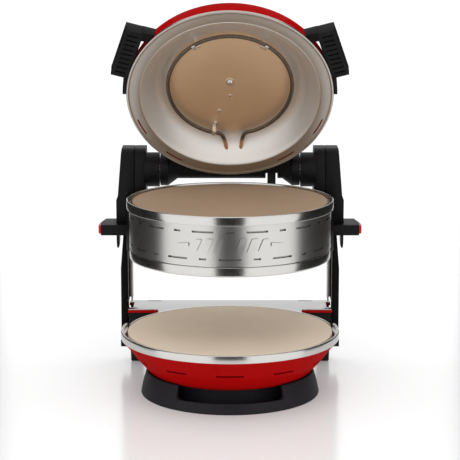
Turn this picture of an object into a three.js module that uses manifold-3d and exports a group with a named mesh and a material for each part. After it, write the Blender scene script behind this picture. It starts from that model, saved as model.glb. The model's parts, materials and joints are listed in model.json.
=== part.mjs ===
// A two-deck countertop pizza oven: a red base bowl with a stone, a stainless drum with a second stone that
// rides up two columns, and a domed lid hinged to the drum's towers. Millimetres, +Z up, front towards -Y.
// The pose is the serving pose: the drum is raised and the lid is open.
import * as THREE from "three";
import { mergeVertices } from "three/addons/utils/BufferGeometryUtils.js";
import Module from "manifold-3d";

const wasm = await Module();
wasm.setup();

// ---------------------------------------------------------------- driving dimensions
const CLEARANCE = 0.4; // gap between touching pieces
const SHEET = 1.2; // pressed sheet metal
const MOULDED = 3; // moulded plastic wall
const ROUND = 40; // facets of the large round pieces
const SMALL_ROUND = 16; // facets of pins, tubes and screws

const LIFT = 119; // travel of the drum
const LID_OPEN_DEG = 58; // lid angle from closed

const LOWER_STONE_R = 165;
const UPPER_STONE_R = 156;
const STONE_THICK = 12;

const PEDESTAL_R = 144.5; // at the table
const PEDESTAL_TOP_R = 135;
const PEDESTAL_H = 38;
const PEDESTAL_FLOOR = 6;
const PEDESTAL_INNER_R = 98;
const NOTCH_HALF_W = 85;
const NOTCH_SILL = 17;

const BOWL_RIM_R = 173;
const BOWL_BOTTOM_Z = 32;
const BOWL_RIM_Z = 90;
const BOWL_SLOTS = 11;

const RING_R = 176; // chrome ring round the lower stone
const RING_TOP_Z = 103;
const RING_H = 12.5;
const RING_WALL = 2;
const RING_LIP = 4.5;
const RING_FLOOR_DROP = 7;
const LOWER_STONE_TOP_Z = 101.8;

const TRAY_HALF_W = 172; // steel shelf behind the lower stone
const TRAY_FRONT_Y = 142;
const TRAY_BACK_Y = 210;
const TRAY_TOP_Z = 101.5;
const TRAY_THICK = 1.5;
const TRAY_NECK_HALF_W = 121;
const TRAY_FILLET = 9;
const SKIRT_H = 4.2;
const SKIRT_W = 13;

const COLUMN_INNER_X = 174;
const COLUMN_W = 11;
const COLUMN_FRONT_Y = 154;
const COLUMN_DEPTH = 48;
const HOUSING_FLOOR_Z = 34;
const HOUSING_FLOOR_H = 12;
const COLUMN_TOP_ROOM = 18.6; // under the tower's top when the drum is down
const RAIL_W = 7.7; // middle rail, a channel open to the front
const RAIL_WALL = 2;
const RAIL_DEPTH = 36;
const RAIL_TOP_ROOM = 9; // under the tower's top when the drum is down
const RAIL_FOOT_ROOM = 6; // over the housing's floor
const RAIL_ROOM = 1.2; // round the middle rail where it passes the shelf
const TONGUE_W = 9.2;
const TONGUE_REACH = 4;

const DRUM_R = 161;
const DRUM_RIM_R = 165.3;
const DRUM_FOOT_R = 160.5;
const DRUM_H = 94.5; // bottom edge to the top of the rim
const DRUM_FOOT_H = 15;
const DRUM_RIM_H = 14.5;
const DRUM_SLOTS = 24;
const DRUM_SEAT_Z = 103; // height of the drum's bottom edge when it is down
const CROWN_RISE = 38; // depth of the reflector dishes
const CROWN_R = 98;

const RIM_DROP = 19; // lid's rim plane below the hinge axis
const RIM_GAP = 1; // between the drum's rim and the closed lid's
const HINGE_Y = 172;
const HINGE_Z = DRUM_H + RIM_GAP + RIM_DROP; // drum frame: z 0 at the drum's bottom edge

const BRACKET_BOTTOM = -12; // drum frame
const BRACKET_OUTER_X = 172;
const BRACKET_FRONT_Y = 82;
const COLUMN_ROOM = 3.4; // between a column's outer face and the tower
const TOWER_OUTER_X = COLUMN_INNER_X + COLUMN_W + MOULDED + COLUMN_ROOM;
const TOWER_INNER_X = 141;
const TOWER_SPLIT_X = 160;
const TOWER_TOP_X = TOWER_OUTER_X - 9.4; // outer face at the top
const TOWER_FRONT_Y = COLUMN_FRONT_Y - MOULDED - 1;
const TOWER_BACK_Y = 214;
const TOWER_BOTTOM = -20;
const TOWER_OPEN_BELOW = 23;
const TOWER_INNER_BOTTOM = 10;
const TOWER_TOP = HINGE_Z + 37.5;
const TOWER_SHOULDER = 70;
const SHOULDER_STEP = 2.6;

const HINGE_BOSS_R = 29;
const HINGE_PIN_R = 8;
const KNUCKLE_INNER_X = 88;
const KNUCKLE_OUTER_X = 117;
const BEAM_R = 15;
const KNUCKLE_R = 27;
const PIN_ROOM = 0.6; // round a hinge pin in the beam

const LEAD_X = 70;
const LEAD_W = 14;
const LEAD_THICK = 5;
const LEAD_ROOM = 0.8; // round the lead in its gland
const LEAD_Z = 58; // where it leaves the drum, drum frame

const LID_R = 167.5;
const LID_H = 85;
const LID_FLANGE_INNER_R = 145;

const HEATER_R = 101;
const HEATER_TUBE_R = 3.2;
const HEATER_TURN_DEG = -2.8; // the two ends leave a little to the right of the middle
const LID_HEATER_Z = 26; // lid frame
const LID_HEATER_END = 24;
const LID_HEATER_REACH = 31; // of the heater's ends outside its ring
const CEILING_HEATER_Z = 22; // drum frame
const CEILING_HEATER_END = 41;
const HEATER_REACH = 22;
const HEATER_ROOM = 1.2; // round a heater's end in its reflector

const HANDLE_ROOT_X = 157; // end of the part in front of the tower
const HANDLE_IN_X = TOWER_OUTER_X + CLEARANCE;
const HANDLE_OUT_X = 217;
const HANDLE_FRONT_Y = 127;
const HANDLE_DEPTH = 64;
const HANDLE_Z = 9.5;
const HANDLE_H = 17.5;
const BUTTON_PROUD = 4;
const BUTTON_TRAVEL = 3;
const BUTTON_LENGTH = 12;
const BUTTON_POCKET = 22; // depth of the socket in the handle

const GRIP_IN = 166; // from the lid's axis, across the grip
const GRIP_OUT = 195;
const GRIP_FRONT = 76;
const GRIP_BACK = -16;
const GRIP_Z0 = 2;
const GRIP_Z1 = 24;
const GRIP_TURN_DEG = -17.4;
const GRIP_GROOVES = 9;
const GRIP_LEG = 15;

// ---------------------------------------------------------------- materials
function finish(color, roughness, metalness) {
  return new THREE.MeshStandardMaterial({ color, roughness, metalness });
}
const blackPlastic = finish(0x1c1c1e, 0.55, 0);
const redPaint = finish(0xb80d0a, 0.3, 0.1);
const chrome = finish(0xd4d4d2, 0.12, 1);
const steel = finish(0xb4b2ae, 0.3, 1);
const brightDish = finish(0xc8c6c2, 0.15, 1);
const zincSheet = finish(0x9c9c9a, 0.45, 1);
const stone = finish(0xb39d80, 0.9, 0);
const heaterSheath = finish(0x4a4038, 0.5, 0.8);
const redPlastic = finish(0xd01818, 0.35, 0);
const rubber = finish(0x151515, 0.9, 0);
const ceramic = finish(0xe8e4da, 0.7, 0);
const blackSteel = finish(0x232326, 0.4, 0.3);

// ---------------------------------------------------------------- solids
function solidOf(geometry) {
  const bare = geometry.clone();
  bare.deleteAttribute("normal");
  bare.deleteAttribute("uv");
  const merged = mergeVertices(bare, 1e-3);
  const tri = new Uint32Array(merged.index.array);
  const vertProperties = merged.attributes.position.array;
  const make = (triVerts) => new wasm.Manifold(new wasm.Mesh({ numProp: 3, vertProperties, triVerts }));
  const made = make(tri);
  if (made.volume() > 0) return made;
  for (let i = 0; i < tri.length; i += 3) [tri[i + 1], tri[i + 2]] = [tri[i + 2], tri[i + 1]];
  return make(tri);
}

function geometryOf(solid) {
  const mesh = solid.getMesh();
  const positions = new Float32Array(mesh.numVert * 3);
  for (let i = 0; i < mesh.numVert; i++)
    positions.set(mesh.vertProperties.subarray(i * mesh.numProp, i * mesh.numProp + 3), i * 3);
  const geometry = new THREE.BufferGeometry();
  geometry.setAttribute("position", new THREE.BufferAttribute(positions, 3));
  geometry.setIndex(new THREE.BufferAttribute(mesh.triVerts, 1));
  const flat = geometry.toNonIndexed();
  flat.computeVertexNormals();
  return flat;
}

const vectors = (points) => points.map(([x, y]) => new THREE.Vector2(x, y));

// A solid of revolution about Z from [radius, height] pairs that close on themselves or on the axis.
function turned(points, facets = ROUND) {
  const profile = vectors(points);
  if (points[0][0] > 0) profile.push(profile[0].clone());
  return solidOf(new THREE.LatheGeometry(profile, facets).rotateX(Math.PI / 2));
}

function box(x0, x1, y0, y1, z0, z1) {
  const made = new THREE.BoxGeometry(x1 - x0, y1 - y0, z1 - z0);
  return solidOf(made.translate((x0 + x1) / 2, (y0 + y1) / 2, (z0 + z1) / 2));
}

function rod(radius, x0, x1, y, z, facets = SMALL_ROUND, endRadius = radius) {
  const made = new THREE.CylinderGeometry(radius, endRadius, Math.abs(x1 - x0), facets).rotateZ(Math.PI / 2);
  return solidOf(made.translate((x0 + x1) / 2, y, z));
}

function post(radius, x, y, z0, z1, facets = SMALL_ROUND) {
  const made = new THREE.CylinderGeometry(radius, radius, z1 - z0, facets).rotateX(Math.PI / 2);
  return solidOf(made.translate(x, y, (z0 + z1) / 2));
}

// A plan outline in X and Y, raised from z0 to z1.
function plan(shape, z0, z1) {
  const made = new THREE.ExtrudeGeometry(shape, { depth: z1 - z0, bevelEnabled: false, curveSegments: 8 });
  return solidOf(made.translate(0, 0, z0));
}

// A front outline in X and Z, swept from y0 to y1.
function front(shape, y0, y1) {
  const made = new THREE.ExtrudeGeometry(shape, { depth: y1 - y0, bevelEnabled: false, curveSegments: 6 });
  return solidOf(made.rotateX(Math.PI / 2).translate(0, y1, 0));
}

// A side outline in Y and Z, swept from x0 to x1.
function side(shape, x0, x1) {
  const made = new THREE.ExtrudeGeometry(shape, { depth: x1 - x0, bevelEnabled: false, curveSegments: 6 });
  return solidOf(made.rotateZ(Math.PI / 2).rotateY(Math.PI / 2).translate(x0, 0, 0));
}

function roundedRect(x0, x1, y0, y1, r, rTop = r) {
  const s = new THREE.Shape();
  s.moveTo(x0 + r, y0);
  s.lineTo(x1 - r, y0);
  s.absarc(x1 - r, y0 + r, r, -Math.PI / 2, 0);
  s.lineTo(x1, y1 - rTop);
  s.absarc(x1 - rTop, y1 - rTop, rTop, 0, Math.PI / 2);
  s.lineTo(x0 + rTop, y1);
  s.absarc(x0 + rTop, y1 - rTop, rTop, Math.PI / 2, Math.PI);
  s.lineTo(x0, y0 + r);
  s.absarc(x0 + r, y0 + r, r, Math.PI, 1.5 * Math.PI);
  return s;
}

function polygon(points) {
  return new THREE.Shape(vectors(points));
}

// A round bar along a curve.
function tube(curve, radius, steps, sides = 8) {
  const section = new THREE.Shape();
  section.absarc(0, 0, radius, 0, 2 * Math.PI);
  const made = new THREE.ExtrudeGeometry(section, {
    extrudePath: curve,
    steps,
    bevelEnabled: false,
    curveSegments: sides,
  });
  return solidOf(made);
}

// Slots through a round wall: a bar that long and high, repeated about Z.
function slotBars(count, firstDeg, stepDeg, length, height, z, r0, r1) {
  const bars = [];
  for (let i = 0; i < count; i++) {
    const bar = box(-length / 2, length / 2, -r1, -r0, z - height / 2, z + height / 2);
    bars.push(bar.rotate([0, 0, firstDeg + i * stepDeg]));
  }
  return bars;
}

const cutAll = (solid, cuts) => cuts.reduce((left, cut) => left.subtract(cut), solid);

function piece(name, solid, material) {
  const mesh = new THREE.Mesh(geometryOf(solid), material);
  mesh.name = name;
  return mesh;
}

// One solid on the right (+X) and its mirror image on the left.
function pair(name, solid, material) {
  return [piece(name + "_right", solid, material), piece(name + "_left", solid.mirror([1, 0, 0]), material)];
}

// ---------------------------------------------------------------- base
function pedestal() {
  const wall = 4.5;
  const ring = turned([
    [PEDESTAL_INNER_R - MOULDED, 0],
    [PEDESTAL_R - 1.5, 0],
    [PEDESTAL_R, 1.5],
    [PEDESTAL_TOP_R, PEDESTAL_H],
    [PEDESTAL_TOP_R - wall, PEDESTAL_H],
    [PEDESTAL_R - wall - 1, PEDESTAL_FLOOR],
    [PEDESTAL_INNER_R, PEDESTAL_FLOOR],
    [PEDESTAL_INNER_R, BOWL_BOTTOM_Z - 4],
    [PEDESTAL_INNER_R - MOULDED, BOWL_BOTTOM_Z - 4],
  ]);
  const notch = roundedRect(-NOTCH_HALF_W, NOTCH_HALF_W, NOTCH_SILL, PEDESTAL_H + 30, 7);
  return ring.subtract(front(notch, -PEDESTAL_R - 10, -PEDESTAL_INNER_R - 1));
}

function baseCover() {
  const r = PEDESTAL_INNER_R - MOULDED - 1;
  return turned([[0, 1], [r, 1], [r, 3.5], [0, 3.5]], 32);
}

// [radius, height] of the red bowl's outside, from its flat bottom to its rim.
const bowlOutside = [
  [90, BOWL_BOTTOM_Z],
  [116, BOWL_BOTTOM_Z + 1],
  [128, BOWL_BOTTOM_Z + 5.5],
  [137, BOWL_BOTTOM_Z + 13],
  [152, BOWL_BOTTOM_Z + 29],
  [164, BOWL_BOTTOM_Z + 45],
  [BOWL_RIM_R, BOWL_RIM_Z],
];

function thinBowl(outside, wall, facets = ROUND) {
  const inside = outside.map(([r, z], i) => {
    const [ra, za] = outside[Math.max(i - 1, 0)];
    const [rb, zb] = outside[Math.min(i + 1, outside.length - 1)];
    const along = Math.hypot(rb - ra, zb - za);
    return [r - (wall * (zb - za)) / along, z + (wall * (rb - ra)) / along];
  });
  inside[inside.length - 1] = [outside.at(-1)[0] - wall, outside.at(-1)[1]];
  return turned([[0, outside[0][1]], ...outside, ...inside.reverse(), [0, outside[0][1] + wall]], facets);
}

function lowerShell() {
  const slotZ = BOWL_BOTTOM_Z + 32;
  const slots = slotBars(BOWL_SLOTS, 0, 360 / BOWL_SLOTS, 41, 3, slotZ, 130, 190);
  return cutAll(thinBowl(bowlOutside, SHEET), slots);
}

function lowerReflector() {
  const outside = [
    [110, BOWL_BOTTOM_Z + 26],
    [143, BOWL_BOTTOM_Z + 36],
    [157, BOWL_BOTTOM_Z + 50],
  ];
  return thinBowl(outside, 0.8);
}

function lowerStoneSeat() {
  const top = LOWER_STONE_TOP_Z - STONE_THICK - CLEARANCE;
  return turned([
    [159.5, BOWL_BOTTOM_Z + 50],
    [162, BOWL_BOTTOM_Z + 50],
    [162, top],
    [159.5, top],
  ], 32);
}

function ringSection(outer, top, height) {
  const inner = outer - RING_LIP;
  const floor = top - RING_FLOOR_DROP;
  return [
    [outer - RING_WALL, top - height],
    [outer, top - height],
    [outer, top - 1.5],
    [outer - 1, top],
    [inner + 1, top],
    [inner, top - 1],
    [inner, floor],
    [inner - 4, floor],
    [inner - 4, floor - SHEET],
    [outer - RING_WALL, floor - SHEET],
  ];
}

function lowerRing() {
  const ring = turned(ringSection(RING_R, RING_TOP_Z, RING_H));
  const neck = TRAY_NECK_HALF_W + CLEARANCE;
  return ring.subtract(box(-neck, neck, 0, RING_R + 5, RING_TOP_Z - RING_H - 1, RING_TOP_Z + 1));
}

const railOuterX = COLUMN_INNER_X - CLEARANCE;
const railInnerX = railOuterX - RAIL_W;
const railFrontY = COLUMN_FRONT_Y + 4;

// The two upright ways through the shelf and the housing for the middle rails.
function railRoom() {
  const way = box(
    railInnerX - RAIL_ROOM, TRAY_HALF_W + 9, railFrontY - RAIL_ROOM, railFrontY + RAIL_DEPTH + RAIL_ROOM,
    housingFloorTop, TRAY_TOP_Z + 5,
  );
  return [way, way.mirror([1, 0, 0])];
}

function rearTray() {
  const inner = LOWER_STONE_R + 2.5;
  const s = new THREE.Shape();
  const neckY = Math.sqrt(inner ** 2 - TRAY_NECK_HALF_W ** 2);
  const angle = Math.acos(TRAY_NECK_HALF_W / inner);
  s.moveTo(TRAY_HALF_W, TRAY_FRONT_Y);
  s.lineTo(TRAY_HALF_W, TRAY_BACK_Y);
  s.lineTo(-TRAY_HALF_W, TRAY_BACK_Y);
  s.lineTo(-TRAY_HALF_W, TRAY_FRONT_Y);
  s.lineTo(-TRAY_NECK_HALF_W - TRAY_FILLET, TRAY_FRONT_Y);
  s.absarc(-TRAY_NECK_HALF_W - TRAY_FILLET, TRAY_FRONT_Y - TRAY_FILLET, TRAY_FILLET, Math.PI / 2, 0, true);
  s.lineTo(-TRAY_NECK_HALF_W, neckY);
  s.absarc(0, 0, inner, Math.PI - angle, angle, true);
  s.lineTo(TRAY_NECK_HALF_W, TRAY_FRONT_Y - TRAY_FILLET);
  s.absarc(
    TRAY_NECK_HALF_W + TRAY_FILLET, TRAY_FRONT_Y - TRAY_FILLET, TRAY_FILLET, Math.PI, Math.PI / 2, true,
  );
  const plate = plan(s, TRAY_TOP_Z - TRAY_THICK, TRAY_TOP_Z);
  const slot = (x) => box(x - 12, x + 12, TRAY_BACK_Y - 7, TRAY_BACK_Y - 3, TRAY_TOP_Z - 5, TRAY_TOP_Z + 5);
  return cutAll(plate, [slot(-130), slot(130), ...railRoom()]);
}

function traySkirt() {
  const top = TRAY_TOP_Z - TRAY_THICK - CLEARANCE;
  const half = TRAY_HALF_W + 1;
  const outer = box(-half, half, TRAY_FRONT_Y - 1, TRAY_BACK_Y + 1, top - SKIRT_H, top);
  const inner = box(
    SKIRT_W - half, half - SKIRT_W, TRAY_FRONT_Y - 1 + SKIRT_W, TRAY_BACK_Y + 1 - SKIRT_W, top - 9, top + 9,
  );
  return cutAll(outer, [inner, post(RING_R + 2, 0, 0, top - 9, top + 9, ROUND), ...railRoom()]);
}

const housingFloorTop = HOUSING_FLOOR_Z + HOUSING_FLOOR_H;
const housingTop = TRAY_TOP_Z - TRAY_THICK - 2 * CLEARANCE - SKIRT_H;
const housingBack = TRAY_BACK_Y + 2;
const housingHalf = TRAY_HALF_W - 1;

function rearHousing() {
  const outerX = COLUMN_INNER_X + COLUMN_W + 1;
  const centre = box(-housingHalf, housingHalf, TRAY_FRONT_Y + 4, housingBack, HOUSING_FLOOR_Z, housingTop);
  const floor = box(-outerX, outerX, TOWER_FRONT_Y, housingBack, HOUSING_FLOOR_Z, housingFloorTop);
  const saddle = box(-85, 85, 100, TOWER_FRONT_Y + 4, 8, housingFloorTop);
  const shell = RING_R + 1.5;
  const cavityHalf = railInnerX - RAIL_ROOM;
  const cavity = box(
    MOULDED - cavityHalf, cavityHalf - MOULDED, TRAY_FRONT_Y + 4 + MOULDED, housingBack + 1,
    housingFloorTop, housingTop - MOULDED,
  ).subtract(post(shell + MOULDED, 0, 0, 0, housingTop + 5, ROUND));
  return cutAll(centre.add(floor).add(saddle), [
    cavity,
    ...railRoom(),
    post(shell, 0, 0, housingFloorTop, housingTop + 5, ROUND),
    post(PEDESTAL_R + 1.5, 0, 0, 0, housingFloorTop + 1, ROUND),
  ]);
}

function housingCover() {
  const plateY = housingBack + CLEARANCE;
  const plate = box(-housingHalf, housingHalf, plateY, plateY + 2.5, housingFloorTop, housingTop);
  const louvres = [];
  for (let i = 0; i < 6; i++) {
    const x = -50 + i * 20;
    louvres.push(box(x - 1.5, x + 1.5, housingBack, housingBack + 9, housingFloorTop + 12, housingTop - 12));
  }
  return cutAll(plate, [...louvres, rearHole(GLAND_R + CLEARANCE)]);
}

const GLAND_R = 8;
const glandX = 110;
const glandZ = housingFloorTop + 22;

function rearHole(r) {
  const made = new THREE.CylinderGeometry(r, r, 40, SMALL_ROUND);
  return solidOf(made.translate(glandX, housingBack, glandZ));
}

function cordGland() {
  const profile = vectors([
    [0, -8], [GLAND_R, -8], [GLAND_R, 3.2], [11, 3.2], [11, 6],
    [GLAND_R - 1, 9], [6, 16], [4, 16], [4, 4], [0, 4],
  ]);
  const made = new THREE.LatheGeometry(profile, SMALL_ROUND);
  return solidOf(made.translate(glandX, housingBack, glandZ));
}

function rearFoot() {
  const outer = COLUMN_INNER_X - 2;
  const top = HOUSING_FLOOR_Z - CLEARANCE;
  const face = polygon([[outer - 20, 0], [outer - 1.5, 0], [outer, top], [outer - 22, top]]);
  return front(face, TRAY_BACK_Y - 28, TRAY_BACK_Y);
}

const tongueY = COLUMN_FRONT_Y + COLUMN_DEPTH / 2 - 1;

// The tower's outer face, at a height in the drum's frame above its shoulder.
function towerFaceX(z) {
  const lean = (TOWER_OUTER_X - SHOULDER_STEP - TOWER_TOP_X) / (TOWER_TOP - TOWER_SHOULDER);
  return TOWER_OUTER_X - SHOULDER_STEP - lean * (z - TOWER_SHOULDER);
}

// A post that tapers at its top to fit the tower when the drum is down.
function column() {
  const z0 = housingFloorTop + CLEARANCE;
  const z1 = DRUM_SEAT_Z + TOWER_TOP - COLUMN_TOP_ROOM;
  const outer = COLUMN_INNER_X + COLUMN_W;
  const room = MOULDED + 1;
  const face = polygon([
    [COLUMN_INNER_X, z0],
    [outer, z0],
    [outer, DRUM_SEAT_Z + TOWER_SHOULDER - 4],
    [Math.min(outer, towerFaceX(z1 - DRUM_SEAT_Z) - room), z1],
    [COLUMN_INNER_X, z1],
  ]);
  const bar = front(face, COLUMN_FRONT_Y, COLUMN_FRONT_Y + COLUMN_DEPTH);
  const half = TONGUE_W / 2 + CLEARANCE;
  const reach = TONGUE_REACH + CLEARANCE;
  const grooveX = COLUMN_INNER_X + reach;
  const groove = box(COLUMN_INNER_X - 1, grooveX, tongueY - half, tongueY + half, z0 - 1, z1 + 1);
  return bar.subtract(groove);
}

// The middle rail at the height it has when the drum is down.
function middleRail() {
  const z0 = housingFloorTop + RAIL_FOOT_ROOM;
  const z1 = DRUM_SEAT_Z + TOWER_TOP - RAIL_TOP_ROOM;
  const bar = box(railInnerX, railOuterX, railFrontY, railFrontY + RAIL_DEPTH, z0, z1);
  const channel = box(
    railInnerX + RAIL_WALL, railOuterX - RAIL_WALL, railFrontY - 1, railFrontY + RAIL_DEPTH - RAIL_WALL,
    z0 - 1, z1 + 1,
  );
  const tongue = box(
    railOuterX - 0.5, railOuterX + TONGUE_REACH, tongueY - TONGUE_W / 2, tongueY + TONGUE_W / 2, z0, z1,
  );
  return bar.subtract(channel).add(tongue);
}

// ---------------------------------------------------------------- heaters
// A ring heater at height z with its ends turned outwards at the back and bent to endZ.
function heater(radius, z, endZ, reach = HEATER_REACH, tubeRadius = HEATER_TUBE_R) {
  const gap = THREE.MathUtils.degToRad(12);
  const points = [];
  const steps = 28;
  const bend = endZ > z ? 2 : 9;
  const end = (s) => [
    new THREE.Vector3(s * 12, radius + reach + 1, endZ),
    new THREE.Vector3(s * 12.5, radius + reach - bend, endZ > z ? (z + endZ) / 2 : endZ + 2),
    new THREE.Vector3(s * 15, radius + 11, z),
  ];
  points.push(...end(1));
  for (let i = 0; i <= steps; i++) {
    const a = Math.PI / 2 - gap - (i / steps) * (2 * Math.PI - 2 * gap);
    points.push(new THREE.Vector3(radius * Math.cos(a), radius * Math.sin(a), z));
  }
  points.push(...end(-1).reverse());
  const curve = new THREE.CatmullRomCurve3(points, false, "centripetal");
  return tube(curve, tubeRadius, 44, 3).rotate([0, 0, HEATER_TURN_DEG]);
}

function thermostat(z, height = 9) {
  const profile = [
    [0, z], [9, z], [9, z + height], [4, z + height], [4, z + height + 3], [0, z + height + 3],
  ];
  return turned(profile, 20);
}

// --------------------------------------------------------- drum, in its own frame: z 0 at its bottom edge
function drumFoot() {
  return turned([
    [150, 0],
    [DRUM_FOOT_R - 1, 0],
    [DRUM_FOOT_R, 1],
    [DRUM_FOOT_R, DRUM_FOOT_H - 1],
    [DRUM_FOOT_R - 1, DRUM_FOOT_H],
    [DRUM_FOOT_R - 2.2, DRUM_FOOT_H],
    [DRUM_FOOT_R - 2.2, DRUM_FOOT_H + 5],
    [DRUM_FOOT_R - 3.7, DRUM_FOOT_H + 5],
    [DRUM_FOOT_R - 3.7, 1.6],
    [150, 1.6],
  ]);
}

function drumShell() {
  const top = DRUM_H - DRUM_RIM_H - CLEARANCE;
  const wall = turned([
    [DRUM_R - SHEET, DRUM_FOOT_H + 2],
    [DRUM_R, DRUM_FOOT_H + 2],
    [DRUM_R, top],
    [DRUM_R - SHEET, top],
  ]);
  const step = 360 / DRUM_SLOTS;
  const row = (first, length, z) =>
    slotBars(DRUM_SLOTS / 2, first, 2 * step, length, 3, z, DRUM_R - 6, DRUM_R + 4);
  return cutAll(wall, [
    ...row(0, 9, top - 10),
    ...row(step, 36, top - 10),
    ...row(0, 36, DRUM_FOOT_H + 12.6),
    ...row(step, 9, DRUM_FOOT_H + 12.6),
  ]);
}

function drumRim() {
  const section = ringSection(DRUM_RIM_R, DRUM_H, DRUM_RIM_H);
  return turned(section);
}

function upperStone() {
  const top = DRUM_H - 2;
  return turned([
    [0, top - STONE_THICK],
    [UPPER_STONE_R, top - STONE_THICK],
    [UPPER_STONE_R, top - 1],
    [UPPER_STONE_R - 1, top],
    [0, top],
  ]);
}

function lowerStone() {
  const top = LOWER_STONE_TOP_Z;
  return turned([
    [0, top - STONE_THICK],
    [LOWER_STONE_R, top - STONE_THICK],
    [LOWER_STONE_R, top - 1],
    [LOWER_STONE_R - 1, top],
    [0, top],
  ]);
}

const dividerZ = 48;

function dividerPlate() {
  const r = DRUM_R - SHEET - CLEARANCE;
  return turned([[0, dividerZ], [r, dividerZ], [r, dividerZ + 1], [0, dividerZ + 1]]);
}

function upperStoneSeat() {
  const top = DRUM_H - 2 - STONE_THICK - CLEARANCE;
  return turned([
    [146, dividerZ + 1 + CLEARANCE],
    [149, dividerZ + 1 + CLEARANCE],
    [149, top],
    [146, top],
  ], 32);
}

// A shallow dish open downwards, its flat crown at height crown.
function dish(rimR, rimZ, crown, wall = 1) {
  const under = [
    [rimR - 28, crown - 9],
    [rimR - 10, crown - 26],
    [rimR, rimZ],
  ];
  const over = under.map(([r, z]) => [r + wall * 0.7, z + wall * 0.9]).reverse();
  return turned([
    [0, crown], [CROWN_R, crown], ...under, ...over, [CROWN_R, crown + wall], [0, crown + wall],
  ]);
}

function ceilingReflector() {
  const made = dish(152, 1.6 + CLEARANCE, CROWN_RISE + 2);
  const tubeRoom = HEATER_TUBE_R + HEATER_ROOM;
  return made.subtract(heater(HEATER_R, CEILING_HEATER_Z, CEILING_HEATER_END, HEATER_REACH, tubeRoom));
}

function towerSolid(inset, lowOuter, lowInner) {
  const outerX = TOWER_OUTER_X - inset;
  const topX = TOWER_TOP_X - inset;
  const top = TOWER_TOP - inset;
  const face = polygon([
    [TOWER_INNER_X + inset, lowInner],
    [TOWER_SPLIT_X, lowInner],
    [TOWER_SPLIT_X, lowOuter],
    [outerX, lowOuter],
    [outerX, TOWER_SHOULDER - 4],
    [outerX - SHOULDER_STEP, TOWER_SHOULDER],
    [topX, top],
    [TOWER_INNER_X + inset, top],
  ]);
  const profile = roundedRect(
    TOWER_FRONT_Y + inset, TOWER_BACK_Y - inset, lowOuter, top, 20 - inset, 16 - inset,
  );
  return front(face, TOWER_FRONT_Y, TOWER_BACK_Y).intersect(side(profile, 0, 300));
}

function tower() {
  const cut = box(
    TOWER_INNER_X - 1, TOWER_OUTER_X - MOULDED, TOWER_FRONT_Y - 5, TOWER_BACK_Y + 5,
    TOWER_BOTTOM - 1, TOWER_OPEN_BELOW,
  );
  const keepInner = box(
    TOWER_INNER_X - 1, TOWER_SPLIT_X, TOWER_FRONT_Y - 5, TOWER_BACK_Y + 5,
    TOWER_INNER_BOTTOM, TOWER_OPEN_BELOW,
  );
  const hingeBoss = rod(HINGE_BOSS_R, KNUCKLE_OUTER_X + 1.5, TOWER_INNER_X + MOULDED, HINGE_Y, HINGE_Z, 32);
  return towerSolid(0, TOWER_BOTTOM, TOWER_INNER_BOTTOM)
    .subtract(towerSolid(MOULDED, TOWER_BOTTOM - 40, TOWER_INNER_BOTTOM - 5))
    .subtract(cut.subtract(keepInner))
    .add(hingeBoss)
    .subtract(rod(HINGE_PIN_R + CLEARANCE, KNUCKLE_OUTER_X - 5, TOWER_INNER_X + 6, HINGE_Y, HINGE_Z));
}

function towerHalves() {
  const whole = tower();
  const g = CLEARANCE / 2;
  const slab = (x0, x1) => box(x0, x1, 100, 260, TOWER_BOTTOM - 50, TOWER_TOP + 50);
  return {
    cover: whole.intersect(slab(TOWER_SPLIT_X + g, 300)),
    frame: whole.intersect(slab(0, TOWER_SPLIT_X - g)),
  };
}

// The bar that runs in the middle rail, with the rib that fixes it to the tower's front wall.
function slider() {
  const c = CLEARANCE;
  const x0 = railInnerX + RAIL_WALL + c;
  const x1 = railOuterX - RAIL_WALL - c;
  const barBack = railFrontY + RAIL_DEPTH - RAIL_WALL - c;
  const bar = box(x0, x1, railFrontY + 2, barBack, TOWER_BOTTOM + 10, TOWER_TOP - 18);
  const rib = box(x0, x1, TOWER_FRONT_Y + MOULDED + c, railFrontY + 3, TOWER_OPEN_BELOW + 4, TOWER_TOP - 18);
  return bar.add(rib);
}

// The bracket that joins the drum to a tower, with an ear below the drum and a notch for the side handle.
function sideBracket() {
  const y1 = TOWER_FRONT_Y - CLEARANCE;
  const x0 = TOWER_INNER_X + 1;
  const x1 = BRACKET_OUTER_X;
  const outline = polygon([
    [x0 + 6, BRACKET_FRONT_Y], [x1 - 6, BRACKET_FRONT_Y + 6], [x1, BRACKET_FRONT_Y + 22], [x1, y1],
    [x0, y1], [x0, BRACKET_FRONT_Y],
  ]);
  const z1 = DRUM_H - DRUM_RIM_H - 2;
  const body = plan(outline, 5, z1).subtract(post(DRUM_R + CLEARANCE, 0, 0, 0, DRUM_H, ROUND));
  const ringRoom = post(RING_R + 2.5, 0, 0, BRACKET_BOTTOM - 1, 5, ROUND);
  const ear = plan(outline, BRACKET_BOTTOM, 6).subtract(ringRoom);
  const trayRoom = box(100, TRAY_HALF_W + 4, TRAY_FRONT_Y - 4, 200, BRACKET_BOTTOM - 1, 4);
  const handleRoom = box(
    HANDLE_ROOT_X - CLEARANCE, HANDLE_OUT_X, HANDLE_FRONT_Y - CLEARANCE, y1 + 1,
    HANDLE_Z - CLEARANCE, HANDLE_Z + HANDLE_H + CLEARANCE,
  );
  return cutAll(body.add(ear), [trayRoom, handleRoom]);
}

const handleBackY = HANDLE_FRONT_Y + HANDLE_DEPTH;

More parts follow.
